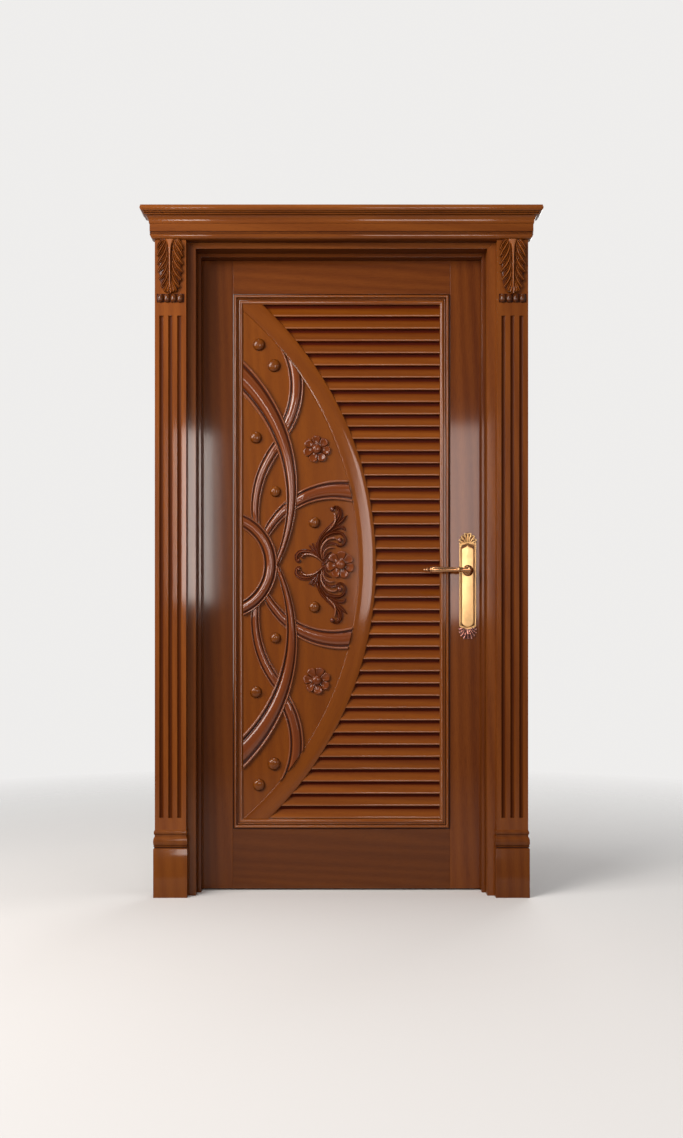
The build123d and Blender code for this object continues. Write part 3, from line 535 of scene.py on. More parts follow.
def turned(shape, profile, origin, axis, segments, relief, slot=0):
    """A turned form: rows of (distance along axis, radius) round an axis from origin."""
    axis = np.asarray(axis, float)
    first = np.array([0.0, 0.0, 1.0]) if abs(axis[2]) < 0.9 else np.array([1.0, 0.0, 0.0])
    second = np.cross(axis, first)
    turn = np.linspace(0, 2 * math.pi, segments, endpoint=False)[:, None]
    ring = np.cos(turn) * first + np.sin(turn) * second
    along, radius = np.asarray(profile, float).T[..., None, None]
    verts = (np.asarray(origin) + along * axis + radius * ring).reshape(-1, 3)
    rows = len(profile)
    grain = verts @ np.stack([axis, first, second], axis=1) + rng.uniform(0, 3, 3)
    relief = np.repeat(np.broadcast_to(relief, rows), segments)
    shape.add(verts, grid_faces(rows, segments, closed=True, caps=True), relief, grain, slot)


def rounded(points, rounds, steps):
    """An open profile with some of its corners rounded; rounds gives each corner's radius or 0."""
    points = [np.asarray(p, float) for p in points]
    out = [points[0]]
    for before, here, after, radius in zip(points, points[1:], points[2:], rounds[1:-1]):
        if not radius:
            out.append(here)
            continue
        back, ahead = before - here, after - here
        reach = min(radius, 0.48 * np.linalg.norm(back), 0.48 * np.linalg.norm(ahead))
        start = here + back / np.linalg.norm(back) * reach
        end = here + ahead / np.linalg.norm(ahead) * reach
        for t in np.linspace(0, 1, steps):
            out.append((1 - t) ** 2 * start + 2 * t * (1 - t) * here + t**2 * end)
    out.append(points[-1])
    return np.array(out)


# CAD boards that stay: welded, with softened edges and their own grain
def dress(name, material, edge):
    """Give a CAD board its wood or metal and, with an edge width, a bevel."""
    node = nodes[name]
    node.data.materials.clear()
    node.data.materials.append(material)
    if "custom_normal" in node.data.attributes:
        node.data.attributes.remove(node.data.attributes["custom_normal"])
    node.data.polygons.foreach_set("use_smooth", [bool(edge)] * len(node.data.polygons))
    weld = node.modifiers.new("weld", "WELD")
    weld.merge_threshold = 0.00002
    if edge and "pilaster" not in name:
        flat = node.modifiers.new("flat", "DECIMATE")
        flat.decimate_type = "DISSOLVE"
        flat.angle_limit = math.radians(0.5)
    if edge:
        bevel = node.modifiers.new("edge", "BEVEL")
        bevel.width = edge
        bevel.segments = 2
        bevel.limit_method = "ANGLE"
        bevel.angle_limit = math.radians(32)
        bevel.harden_normals = True


for name, material, edge in (
    ("hinge_jamb", lining_z, 1.2), ("lock_jamb", lit_lock_lining_z, 1.2), ("head_jamb", lining_x, 1.2),
    ("hinge_stop", stop_z, 1.2), ("lock_stop", stop_z, 1.2), ("head_stop", stop_x, 1.2),
    ("left_pilaster", casing_z, 1.0), ("right_pilaster", shaded_casing_right_z, 1.0),
    ("hinge_stile", stile_z, 1.2), ("lock_stile", lit_lock_stile_z, 1.2),
    ("top_rail", lit_top_rail_x, 0.8), ("bottom_rail", shaded_bottom_rail_x, 0.8),
    ("backing_panel", panel_back_z, 0.4), ("half_moon_board", field_z, 0.0),
    ("lock_case", hinge_steel, 0.8), ("lock_face_plate", lock_brass, 0.5), ("strike_plate", lock_brass, 0.5),
    ("latch_bolt", lock_brass, 0.6), ("spindle", hinge_steel, 0.5),
    ("hinge_jamb_plates", hinge_steel, 0.4), ("hinge_door_plates", hinge_steel, 0.4),
):
    dress(name, material, edge * MM)


# Mitred mouldings round the panel, the cornice and the plinth blocks
def painted_groove_shade(along, lift, reach=0.005, depth=0.0016):
    """Painted shade along a profile: tone values low in its grooves, where it is higher on both sides within
    a reach.
    """
    values = []
    for here, own in zip(along, lift):
        before = lift[(along <= here) & (along >= here - reach)].max()
        after = lift[(along >= here) & (along <= here + reach)].max()
        values.append(PLAIN * (1 - np.clip((min(before, after) - own) / depth, 0, 1)))
    return np.array(values)


def mitred(name, loops, tone, materials, body, slot, replaces, ends=()):
    """A profile carried round four mitred sides, as rows of four corners, with each row's painted shade as
    tone; ends are the rows to close.
    """
    shape = Shape()
    loops = np.array(loops)
    for side in range(4):
        verts = np.stack([loops[:, side], loops[:, (side + 1) % 4]], axis=1).reshape(-1, 3)
        shape.add(verts, grid_faces(len(loops), 2), np.repeat(tone, 2), slot=(side + 1) % 2)
    for row in ends:
        shape.add(loops[row], [(0, 1, 2, 3)], PLAIN)
    shape.piece(name, materials, body, slot, replaces, sharp=28.0, weld=True)


def panel_ring(label, profile, face, out, quirk=0):
    """A moulding round the panel opening: rows of (distance in from the opening, lift from the panel)."""
    loops = []
    for inset, lift in profile:
        x, y = panel_x - inset, face - out * lift
        low, high = panel_low + inset, panel_high - inset
        loops.append([(-x, y, low), (x, y, low), (x, y, high), (-x, y, high)])
    tone = painted_groove_shade(*np.array(profile).T)
    # Painted shade in the quirk beside the stile
    tone[:quirk] = 0.0
    mitred(f"panel_moulding_{label}", loops, tone, [moulding_z, moulding_x], "leaf", "carving_wood",
           [f"{label}_moulding_{side}" for side in ("left", "bottom", "right", "top")])


def three_sides(name, rows, scale, left, right, materials, replaces, front_share=1.0):
    """Rows of (reach, height), scaled, round the left, front and right sides of a block against the wall."""
    reach, base, tall = scale
    profile = [(r * reach, base + z * tall) for r, z in rows]
    loops = []
    for r, z in profile:
        front = casing_front - r * front_share
        loops.append([(left - r, wall_face, z), (left - r, front, z),
                      (right + r, front, z), (right + r, wall_face, z)])
    lift, height = np.array(profile).T
    # Painted shade in the grooves of the profile
    mitred(name, loops, painted_groove_shade(height, lift), materials, "frame", "casing_wood", replaces, (0, -1))


lip = np.linspace(0, 1, 10)
lip = np.stack([0.0208 + 0.0120 * lip, 0.0172 + 0.0012 * np.sin(math.pi * lip) - 0.0042 * lip**2], axis=1)
front_profile = [
    (0.0, 0.0), (0.0, 0.0118), (0.0028, 0.0112), *arc((0.0082, 0.0168), (0.0050, 0.0068), 180, 0, 16),
    (0.0138, 0.0150), (0.0146, 0.0150), *arc((0.0166, 0.0172), (0.0018, 0.0022), 180, 0, 8),
    (0.0188, 0.0148), (0.0200, 0.0148), (0.0204, 0.0166), *lip, (0.0330, 0.0118), (0.0330, 0.0),
]
rear_profile = [
    (0.0, 0.0), (0.0, 0.0138), (0.0050, 0.0138), (0.0056, 0.0128),
    *arc((0.0200, 0.0124), (0.0138, 0.0062), 180, 270, 12), (0.0214, 0.0062), (0.0220, 0.0056), (0.0220, 0.0),
]
panel_ring("front", front_profile, panel_face, 1, quirk=3)
panel_ring("rear", rear_profile, panel_back, -1)

cornice_rows = [
    (0.0, 0.0), (0.06, 0.0), *arc((0.05, 0.128), (0.26, 0.120), -80, 0, 10), (0.335, 0.132), (0.335, 0.158),
    (0.26, 0.162), (0.26, 0.186), (0.335, 0.190), (0.335, 0.212), (0.285, 0.216), (0.285, 0.236),
    (0.345, 0.240), (0.345, 0.485), (0.395, 0.492), (0.395, 0.520),
    *arc((0.74, 0.520), (0.345, 0.205), 180, 92, 14), (0.745, 0.728), (0.765, 0.732), (0.765, 0.750),
    (0.69, 0.754), (0.69, 0.776), (0.785, 0.780), (0.785, 0.798), (0.735, 0.802), (0.735, 0.812),
    *arc((0.755, 0.905), (0.245, 0.100), -84, 30, 14), (0.965, 0.985), (0.93, 1.0), (0.0, 1.0),
]
three_sides(
    "cornice_moulding", cornice_rows, (cornice_reach, cornice_bottom, cornice_height), -casing_outer,
    casing_outer, [cornice_x, cornice_y],
    ["bed_front", "bed_left_return", "bed_right_return", "crown_front", "crown_left_return",
     "crown_right_return", "cornice_cap", "cornice_core"],
)

plinth_rows = [
    (1.0, 0.0), (1.0, 0.715), (0.85, 0.725), (0.35, 0.735), (0.35, 0.745), (0.95, 0.755),
    *arc((0.35, 0.825), (0.72, 0.062), -75, 75, 12), (0.3, 0.893), (0.1, 0.90), (0.1, 0.925),
    *arc((0.15, 0.958), (0.5, 0.030), -70, 70, 8), (0.05, 0.995), (0.0, 1.0),
]
for label, middle_x in (("left", -casing_middle), ("right", casing_middle)):
    three_sides(
        f"plinth_{label}", plinth_rows, (plinth_reach, 0.0, plinth_height), middle_x - plinth_half,
        middle_x + plinth_half, [plinth_z] * 2, [f"{label}_plinth_block"], front_share=1.75,
    )

# Slats: rounded nose below, sloping face, open groove above; rows of (lift, height, tone), lift and height in
# millimetres, the tone painting shade in the groove and at the top of the face and a highlight on the nose
SLAT_SECTION = (
    (0.0, 0.0, 0.0), (10.2, 0.0, 0.0), (11.7, 0.2, 0.10), (13.1, 0.8, 0.45), (14.2, 1.8, 0.92),
    (14.8, 3.0, 1.0), (15.0, 4.2, 1.0), (14.8, 5.5, 0.90), (13.9, 8.0, 0.84), (10.8, 14.8, 0.80),
    (8.5, 20.0, 0.72), (6.4, 25.0, 0.50), (4.6, 29.3, 0.24), (3.6, 30.3, 0.10), (2.4, 30.5, 0.0),
    (0.0, 30.5, 0.0),
)

slats = Shape()
lift, up, tone = np.array(SLAT_SECTION).T
for row in range(slat_count):
    z = slat_start + row * slat_pitch + up * MM
    inside = np.clip(rail_outer**2 - (z - moon_height) ** 2, 0, None)
    left = np.maximum(moon_centre[0] + np.sqrt(inside) - 0.6 * MM, inner_left)
    right = np.full(len(z), -inner_left)
    verts = np.concatenate([np.stack([x, panel_face - lift * MM, z], axis=1) for x in (left, right)])
    slats.add(verts, grid_faces(2, len(z), caps=True), np.tile(tone, 2))
slats.piece("slats_fine", [slat_x], "leaf", "panel_wood", ["slats"], sharp=55.0)

# Curved rail of the half moon: its edges as rows of (distance in, depth below the face) in millimetres
RAIL_INNER_EDGE = ((0.0, 15.0), (0.0, 1.6), (0.4, 0.7), (1.0, 0.2), (2.0, 0.0))
RAIL_OUTER_EDGE = ((3.0, 0.0), (1.8, 0.4), (0.8, 1.2), (0.2, 2.2), (0.0, 3.4), (0.0, 15.0))


def add_curved_rail():
    """Flat bent rail with softened edges, cut off at the left moulding and at the panel's foot and head."""
    inner_high = panel_high - moulding_width
    head_corner = math.hypot(inner_left - moon_centre[0], inner_high - moon_height)
    rows = [(rail_inner + inward * MM, rail_tall - down * MM) for inward, down in RAIL_INNER_EDGE]
    rows += [(head_corner, rail_tall), (0.5 * (head_corner + rail_outer), rail_tall)]
    rows += [(rail_outer - inward * MM, rail_tall - down * MM) for inward, down in RAIL_OUTER_EDGE]
    turn = np.radians(np.linspace(-60, 60, 24001))
    count, columns = 180, len(rows)
    verts = np.zeros((count, columns, 3))
    for column, (radius, lift) in enumerate(rows):
        x, z = on_circle(moon_centre, radius, turn).T
        good = np.nonzero((x > inner_left) & (z > slat_start) & (z < inner_high))[0]
        angle = np.linspace(turn[good[0]], turn[good[-1]], count)
        verts[:, column] = at_depth(on_circle(moon_centre, radius, angle), panel_face - lift)
    shape = Shape()
    shape.add(verts.reshape(-1, 3), grid_faces(count, columns), 1.0)
    for end in (verts[0], verts[-1]):
        foot = end.copy()
        foot[:, 1] = panel_face
        shape.add(np.concatenate([end, foot]), grid_faces(2, columns), 1.0)
    shape.piece("curved_rail_fine", [arc_wood], "leaf", "leaf_wood", ["curved_rail"], sharp=50.0, weld=True)


add_curved_rail()

# Carved bands of the half moon: places and widths as shares of its reach, turns and extra ends in degrees,
# heights in millimetres, and the bands that pass over each
Band = namedtuple("Band", "centre radius widths turn half height extra over")
BANDS = {
    "crescent": Band(
        (-0.873, 0.531), 1.239, (0.188, 0.105, 0.041), (50, -31), True, 12.5, (12, 12), ["half_ring"]),
    "half_ring": Band((-0.153, 0.0), 0.359, (0.107, 0.107, 0.107), (80, -80), False, 14.0, (12, 12), []),
    "upper_ogee": Band(
        (-0.241, 1.348), 0.641, (0.112, 0.109, 0.107), (32, -36), True, 10.5, (14, 0), ["crescent"]),
    "lower_ogee": Band(
        (0.878, 0.405), 0.789, (0.096, 0.080, 0.060), (137.5, 188), True, 10.5, (0, 0),
        ["crescent", "half_ring"]),
    "arch": Band(
        (0.709, -0.043), 0.603, (0.162, 0.110, 0.058), (70, 158), True, 11.0, (16, 0),
        ["crescent", "half_ring"]),
}
BEAD_PLACE, BEAD_HALF = 0.434, 0.066
BAND_STEPS = 132
BESIDE_REACH, UNDER_REACH = 0.022, 0.005
KEPT_LOW, KEPT_UNDER, KEPT_BESIDE = 0.24, 0.58, 0.18


def moon_point(across, up):
    """A place in X and Z from shares of the half moon's reach."""
    return np.array([inner_left + across * moon_reach, moon_height + up * moon_reach])


def inside_field(points, half):
    """How far points are inside the field: from the left moulding, the curved rail and the middle line."""
    left = points[..., 0] - inner_left
    rail = field_radius - np.linalg.norm(points - moon_centre, axis=-1)
    middle = points[..., 1] - moon_height if half else np.full(left.shape, 9.0)
    return np.minimum(np.minimum(left, rail), middle)


def band_section(columns=53):
    """Bead, groove, wide round, groove and bead across a band: places, heights and tones, which paint shade
    into the grooves and highlights on the beads and both shoulders of the round.
    """
    place = np.linspace(-0.5, 0.5, columns)
    aside = np.abs(place)
    bead = 0.30 + 0.55 * np.sqrt(np.clip(1 - ((aside - BEAD_PLACE) / BEAD_HALF) ** 2, 0, 1))
    middle = 0.30 + 0.70 * np.clip(1 - (aside / 0.290) ** 2.2, 0, 1) ** 0.5
    rise = np.maximum(bead, middle)
    # Painted highlight along both shoulders of the round and on the beads; painted shade where the band is
    # low
    shoulder_highlight = 0.82 + 0.10 * np.exp(-(((aside - 0.19) / 0.05) ** 2))
    tone = np.where(aside < 0.33, shoulder_highlight, 0.97) * np.clip((rise - 0.30) / 0.22, 0, 1)
    return place, rise, np.where(aside > BEAD_PLACE, 0.97, tone)


def band_width(band, count):
    """Widths along a band, by a curve through three of them."""
    t = np.linspace(0, 1, count)
    first, middle, last = band.widths
    return (first * (1 - t) * (1 - 2 * t) + 4 * middle * t * (1 - t) + last * t * (2 * t - 1)) * moon_reach


def trimmed(centre, radius, start, end, half):
    """The angles where an arc enters and leaves the field."""
    turn = np.radians(np.linspace(start, end, 721))
    good = np.nonzero(inside_field(on_circle(centre, radius, turn), half) > 0)[0]
    return turn[good[0]], turn[good[-1]]


def lowered(flat, over, count=200):
    """Share of its height that a band keeps beside and under a band that passes over it."""
    turn = np.radians(np.linspace(*over.turn, count))
    line = on_circle(moon_point(*over.centre), over.radius * moon_reach, turn)
    away = np.linalg.norm(flat[:, :, None] - line, axis=-1)
    gap = np.min(away - band_width(over, count) / 2, axis=-1)
    beside, under = (np.clip(share, 0, 1) for share in (gap / BESIDE_REACH, 1 + gap / UNDER_REACH))
    beside, under = (share * share * (3 - 2 * share) for share in (beside, under))
    return KEPT_LOW + KEPT_UNDER * under + KEPT_BESIDE * beside


def add_band(shape, band, flip):
    """One band, ending at the field's edges and dipping under the bands that pass over it."""
    place, rise, tone = band_section()
    columns = len(place) + 2
    centre, radius = moon_point(*band.centre), band.radius * moon_reach
    start, end = band.turn
    sign = 1 if end > start else -1
    limits = (start - sign * band.extra[0], end + sign * band.extra[1])
    width = band_width(band, BAND_STEPS)
    flat = np.zeros((BAND_STEPS, len(place), 2))
    for column, s in enumerate(place):
        reach = radius + s * width
        first = trimmed(centre, reach[0], *limits, band.half)[0]
        last = trimmed(centre, reach[-1], *limits, band.half)[1]
        flat[:, column] = on_circle(centre, reach, np.linspace(first, last, BAND_STEPS))
    tall = np.full(flat.shape[:2], band.height * MM)
    for over in band.over:
        tall *= lowered(flat, BANDS[over])
    if flip:
        flat[..., 1] = 2 * moon_height - flat[..., 1]
    verts = at_depth(flat, board_face - rise * tall)
    skirts = verts[:, [0, -1]]
    skirts[..., 1] = board_face + sink
    verts = np.concatenate([skirts[:, :1], verts, skirts[:, 1:]], axis=1).reshape(-1, 3)
    # Painted shade on the band's foot and in its grooves, painted highlight on its beads
    relief = np.tile(np.concatenate([[0.70], tone, [0.70]]), BAND_STEPS)
    travel = np.linspace(0, 1, BAND_STEPS) * radius * math.radians(abs(end - start))
    grain = run_grain(travel, np.concatenate([[-0.5], place, [0.5]]) * 0.05)
    shape.add(verts, grid_faces(BAND_STEPS, columns, caps=True), relief, grain)


bands = Shape()
for label in ("upper_ogee", "lower_ogee", "arch", "crescent"):
    add_band(bands, BANDS[label], False)
    add_band(bands, BANDS[label], True)
add_band(bands, BANDS["half_ring"], False)
bands.piece("carved_bands_fine", [band_wood], "leaf", "carving_wood", ["carved_bands"], sharp=50.0)

# Turned buttons: place and diameter as shares of the half moon's reach
BUTTONS = ((0.118, 1.656, 0.094), (0.231, 1.498, 0.098), (0.095, 0.957, 0.09), (0.242, 0.551, 0.083),
           (0.535, 0.318, 0.086))
buttons = Shape()
for across, up, diameter in BUTTONS:
    for hand in (-1, 1):
        x, z = moon_point(across, hand * up)
        r = diameter * moon_reach / 2
        rows = [(-sink, r), (0.0010, r)] + dome(0.0010, 0.0122, 0.985 * r, 16, 0.05)
        # Painted shade towards each button's foot
        tone = np.clip(np.linspace(0.0, 1.6, len(rows)), 0, PLAIN)
        turned(buttons, rows, (x, board_face, z), TOWARD, 36, tone)
buttons.piece("turned_buttons", [button_wood], "leaf", "carving_wood", ["buttons"])


# Flowers: place and diameter as shares of the half moon's reach, and a turn
def add_flower(shape, centre, radius, petals, turn):
    """Rounded petals, each with one edge over its neighbour, round a large domed eye."""
    rings, spokes = 16, petals * 26
    angle = np.linspace(0, 2 * math.pi, spokes, endpoint=False)
    side = (angle * petals / (2 * math.pi)) % 1 * 2 - 1
    lobe = radius * (0.70 + 0.30 * np.sqrt(np.clip(1 - np.abs(side) ** 2.2, 0, 1)))
    share = np.linspace(0, 1, rings)[:, None]
    eye_reach = 0.28 * radius
    reach = eye_reach + (lobe - eye_reach) * share
    crease = np.clip((np.abs(side) - 0.70) / 0.30, 0, 1) ** 2
    fall = np.clip((share - 0.84) / 0.16, 0, 1) ** 2
    lift = 0.0046 + 0.0054 * share**1.2 - 0.0030 * fall + 0.0014 * side * share
    lift -= 0.0016 * (1 - side**2) * np.sin(math.pi * share)
    lift *= 1 - 0.55 * crease
    verts = at_depth(on_circle(centre, reach, angle + turn), board_face - lift)
    foot = verts[-1:].copy()
    foot[..., 1] = board_face + 0.0004
    verts = np.concatenate([verts, foot]).reshape(-1, 3)
    # Painted shade at the eye, in the creases between petals and on the falling rims
    tone = (0.30 + 0.64 * share**0.8) * (1 - 0.9 * crease) - 0.35 * fall
    relief = np.clip(np.concatenate([tone, np.zeros((1, spokes))]), 0, 0.95)
    shape.add(verts, grid_faces(rings + 1, spokes, closed=True), relief.reshape(-1), verts[:, [2, 0, 1]])
    rows = [(0.0, radius * 0.34), (0.0062, radius * 0.35)] + dome(0.0062, 0.0090, radius * 0.36, 14, 0.05)
    # Eye: painted shade at its foot, with a slight painted highlight on its top
    eye_tone = np.concatenate([[0.0, 0.10], np.linspace(0.45, 0.90, 14)])
    turned(shape, rows, (centre[0], board_face, centre[1]), TOWARD, 32, eye_tone)


FLOWERS = ((0.554, 0.87, 0.205, 0.3), (0.733, 0.0, 0.212, 0.15), (0.554, -0.87, 0.205, 0.8))
flowers = Shape()
for across, up, diameter, turn in FLOWERS:
    add_flower(flowers, moon_point(across, up), diameter * moon_reach / 2, 7, turn)
flowers.piece("carved_flowers", [flower_wood], "leaf", "carving_wood", ["flowers"], sharp=55.0)

# Leaf scrolls beside the middle flower: flutes, points from the flower's centre, widths and heights, and the
# balls at their tips as (across, up, radius, height), all in millimetres
SCROLLS = (
    (2, ((-53.5, 3), (-71, 20), (-88.5, 35), (-108.5, 42.5), (-130, 40), (-142, 27), (-139, 12), (-129.5, 9)),
     (3.5, 9, 13.5, 16, 17, 15, 12, 7.5), (3, 6, 8, 9, 9, 9, 8, 6)),
    (0, ((-57.5, 6.5), (-75, 23), (-92.5, 31.5), (-110, 33.5), (-122, 29.5), (-125.5, 22.5)),
     (3, 6, 7.5, 7.5, 6.5, 5), (4, 8, 10, 11, 10, 8)),
    (1, ((-72.5, 23), (-87, 43), (-101.5, 63.5)), (4.5, 9.5, 6), (4, 8, 6)),
    (1, ((-71, 25.5), (-81, 48), (-92, 69)), (4.5, 9, 5.5), (4, 9, 6)),
    (1, ((-68.5, 27), (-74.5, 51), (-78.5, 72.5)), (4.5, 9, 5.5), (4, 8, 6)),
    (3, ((-56, 6.5), (-67, 27), (-71, 49.5), (-69.5, 72.5), (-59.5, 93.5), (-44, 110), (-27, 124.5),
         (-12, 140.5), (-2.5, 156.5), (-2.5, 174), (-12, 185), (-23, 186)),
     (3.5, 7, 9.5, 12.5, 15, 17, 19.5, 21, 20, 16.5, 12.5, 8), (3, 6, 8, 9, 9, 9, 9, 10, 10, 10, 9, 7)),
    (0, ((-47, 104), (-29.5, 120.5), (-18.5, 138), (-17.5, 154), (-21, 167.5)),
     (3.5, 7, 8, 7, 4.5), (8, 11, 12, 11, 8)),
    (2, ((-18.5, 126.5), (-1.5, 136.5), (10.5, 148.5), (21, 159)), (8, 12.5, 9.5, 2), (7, 10, 9, 5)),
    (2, ((-29.5, 108.5), (-8, 119), (8, 119), (16, 108.5)), (8, 12.5, 12, 6), (7, 10, 9, 6)),
    (2, ((-63, 20), (-67.5, 48), (-61.5, 73.5), (-46.5, 92), (-25.5, 101.5), (-2.5, 103), (12.5, 90.5),
         (14, 72.5), (2, 60), (-11.5, 61)),
     (3.5, 7, 9, 11, 12, 11, 10.5, 9.5, 8, 5.5), (3, 7, 9, 10, 11, 11, 11, 10, 9, 7)),
    (0, ((-61, 18.5), (-63.5, 44), (-56, 65.5), (-41, 81), (-23, 86), (-11.5, 82)),
     (2.5, 6.5, 8, 8.5, 8, 5), (4, 8, 9, 10, 10, 8)),
    (1, ((-59, 17.5), (-59, 40), (-51, 57.5), (-35.5, 69), (-18, 67.5), (-5, 62.5)),
     (2.5, 6, 7.5, 8.5, 8, 5), (4, 8, 9, 10, 9, 7)),
    (0, ((-57, 16), (-55.5, 35), (-47, 49.5), (-33.5, 55.5), (-21.5, 53.5)),
     (2.5, 5, 6.5, 6.5, 3.5), (3, 6, 8, 8, 6)),
    (2, ((-60, 3), (-55, 20), (-45, 33), (-30, 42)), (4, 9, 10, 4), (4, 7, 8, 4)),
    (1, ((-62, 1), (-52, 7), (-44, 16), (-40, 24)), (5, 9, 9, 4), (5, 8, 8, 5)),
)
SCROLL_BALLS = ((-135, 14.5, 5, 11), (-124.5, 25.5, 4.5, 12), (-27.5, 179, 7.5, 12), (-3, 78.5, 8.5, 13))

scrolls = Shape()
middle = moon_point(0.733, 0.0)
for hand in (1, -1):
    for flutes, points, widths, heights in SCROLLS:
        stroke(scrolls, middle, np.array(points) * (1, hand), widths, heights, board_face, flutes, 44, 21)
    for dx, dz, r, h in SCROLL_BALLS:
        rows = np.array([(0.0, r)] + dome(0.45 * h, 0.55 * h, r, 10)) * MM
        origin = (middle[0] + dx * MM, board_face, middle[1] + hand * dz * MM)
        # Painted shade at the foot of each ball, painted highlight on its top
        turned(scrolls, rows, origin, TOWARD, 20, np.linspace(0.1, 0.95, len(rows)))
scrolls.piece("carved_scrolls", [ornament_wood], "leaf", "carving_wood", ["leaf_scrolls"], sharp=60.0)

# Hanging leaf at the head of each pilaster, in millimetres from the middle of its top
LEAF_DOWN = (0, 20, 100, 140, 160, 172)
LEAF_HALF = (37, 41, 40, 33, 24, 12)
LOBES = (
    (((-20, -1), (-27, -9), (-34, -19), (-40, -31)), (9, 12, 13, 7)),
    (((-12, -1), (-19, -17), (-30, -35), (-40, -53)), (7, 13, 16, 8)),
    (((-10, -10), (-14, -37), (-26, -60), (-40, -78)), (6, 13, 17, 8)),
    (((-8, -36), (-12, -64), (-23, -85), (-39, -102)), (6, 12, 17, 8)),
    (((-7, -62), (-10, -90), (-19, -110), (-35, -127)), (5, 12, 16, 8)),
    (((-6, -88), (-8, -114), (-16, -134), (-29, -150)), (5, 11, 14, 8)),
    (((-5, -112), (-6, -136), (-11, -151), (-19, -163)), (4, 9, 12, 7)),
)
LOBE_RISE = np.array((2.5, 6.0, 8.5, 8.5, 4.5))
RIB = (((0, -0.5), (0, -36), (0, -90), (0, -152)), (30, 13, 7.2, 6.2, 5.6, 4.4), (5, 8.5, 9.8, 9.8, 9.4, 7))


def leaf_ground(middle_x):
    """Face of the leaf's body: a swelling that falls away to the sides and to the foot."""
    def ground(x, z):
        across = np.clip(np.abs(x - middle_x) / leaf_half, 0, 1)
        down = np.clip((cornice_bottom - z) / 0.170, 0, 1)
        swell = 0.0050 + 0.0060 * np.sin(math.pi * np.clip(down * 0.85 + 0.12, 0, 1))
        return casing_front - swell * np.sqrt(np.clip(1 - across**2.6, 0.05, 1))
    return ground


leaves = Shape()
for middle_x in (-casing_middle, casing_middle):
    ground = leaf_ground(middle_x)
    top = np.array([middle_x, cornice_bottom])
    down = np.linspace(0.0, 164.0, 40)[:, None]
    half = (np.interp(down, LEAF_DOWN, LEAF_HALF) - 3.0) * MM
    x = middle_x + half * np.linspace(-1, 1, 25)
    z = np.broadcast_to(cornice_bottom - down * MM, x.shape)
    y = ground(x, z)
    y[:, [0, -1]] = casing_front + sink
    y[-1] = casing_front + sink
    verts = np.stack([x, y, z], axis=-1).reshape(-1, 3)
    # The leaf's body is painted in the dark shade of the hollows between its lobes
    leaves.add(verts, grid_faces(*x.shape), 0.06, verts[:, [2, 0, 1]])
    for number, (points, widths) in enumerate(LOBES):
        for hand in (-1, 1):
            rise = LOBE_RISE - 0.3 * number
            stroke(leaves, top, np.array(points) * (-hand, 1), widths, rise, ground, 2, 26, 29, depth=0.40)
    stroke(leaves, top, *RIB, ground, 0, 34, 13)
    for dx, wide in ((-19, 9), (-10, 11), (0, 12), (10, 11), (19, 9)):
        points = ((dx * 0.35, -132), (dx * 0.75, -152), (dx, -169 + abs(dx) * 0.45))
        stroke(leaves, top, points, (4, wide, wide * 0.75), (5, 9, 6.5), ground, 1, 16, 13)
leaves.piece("hanging_leaves", [leaf_carving], "frame", "casing_carving", ["acanthus_leaves"], sharp=60.0)

# Four beads under each leaf, painted darker above and below as painted shade, on a thin bed painted in the
# shade colour of the recess behind them
bead_rows = dome(0.0, 0.0135, 0.0102, 18, 0.03 - math.pi / 2, math.pi / 2 - 0.03, 0.55)
bead_tone = 0.25 + 0.6 * np.cos(np.linspace(-1.5, 1.5, 18))
beads = Shape()
for middle_x in (-casing_middle, casing_middle):
    for k in range(4):
        origin = (middle_x + (k - 1.5) * bead_pitch, casing_front, cornice_bottom - bead_drop)
        turned(beads, bead_rows, origin, (0, 0, 1), 28, bead_tone)
    low, high = (cornice_bottom - drop for drop in shade_bed_drops)
    left, right = middle_x - leaf_half, middle_x + leaf_half
    corners = np.array([(left, low), (right, low), (right, high), (left, high)])
    bed = np.concatenate([at_depth(corners, y) for y in (casing_front + sink, casing_front - shade_bed_lift)])
    # Painted shade: a dark bed behind the beads
    beads.add(bed, [(4, 5, 6, 7)] + grid_faces(2, 4, closed=True), 0.0)
beads.piece("hanging_leaf_beads", [bead_wood], "frame", "casing_carving", ["corbel_beads"])

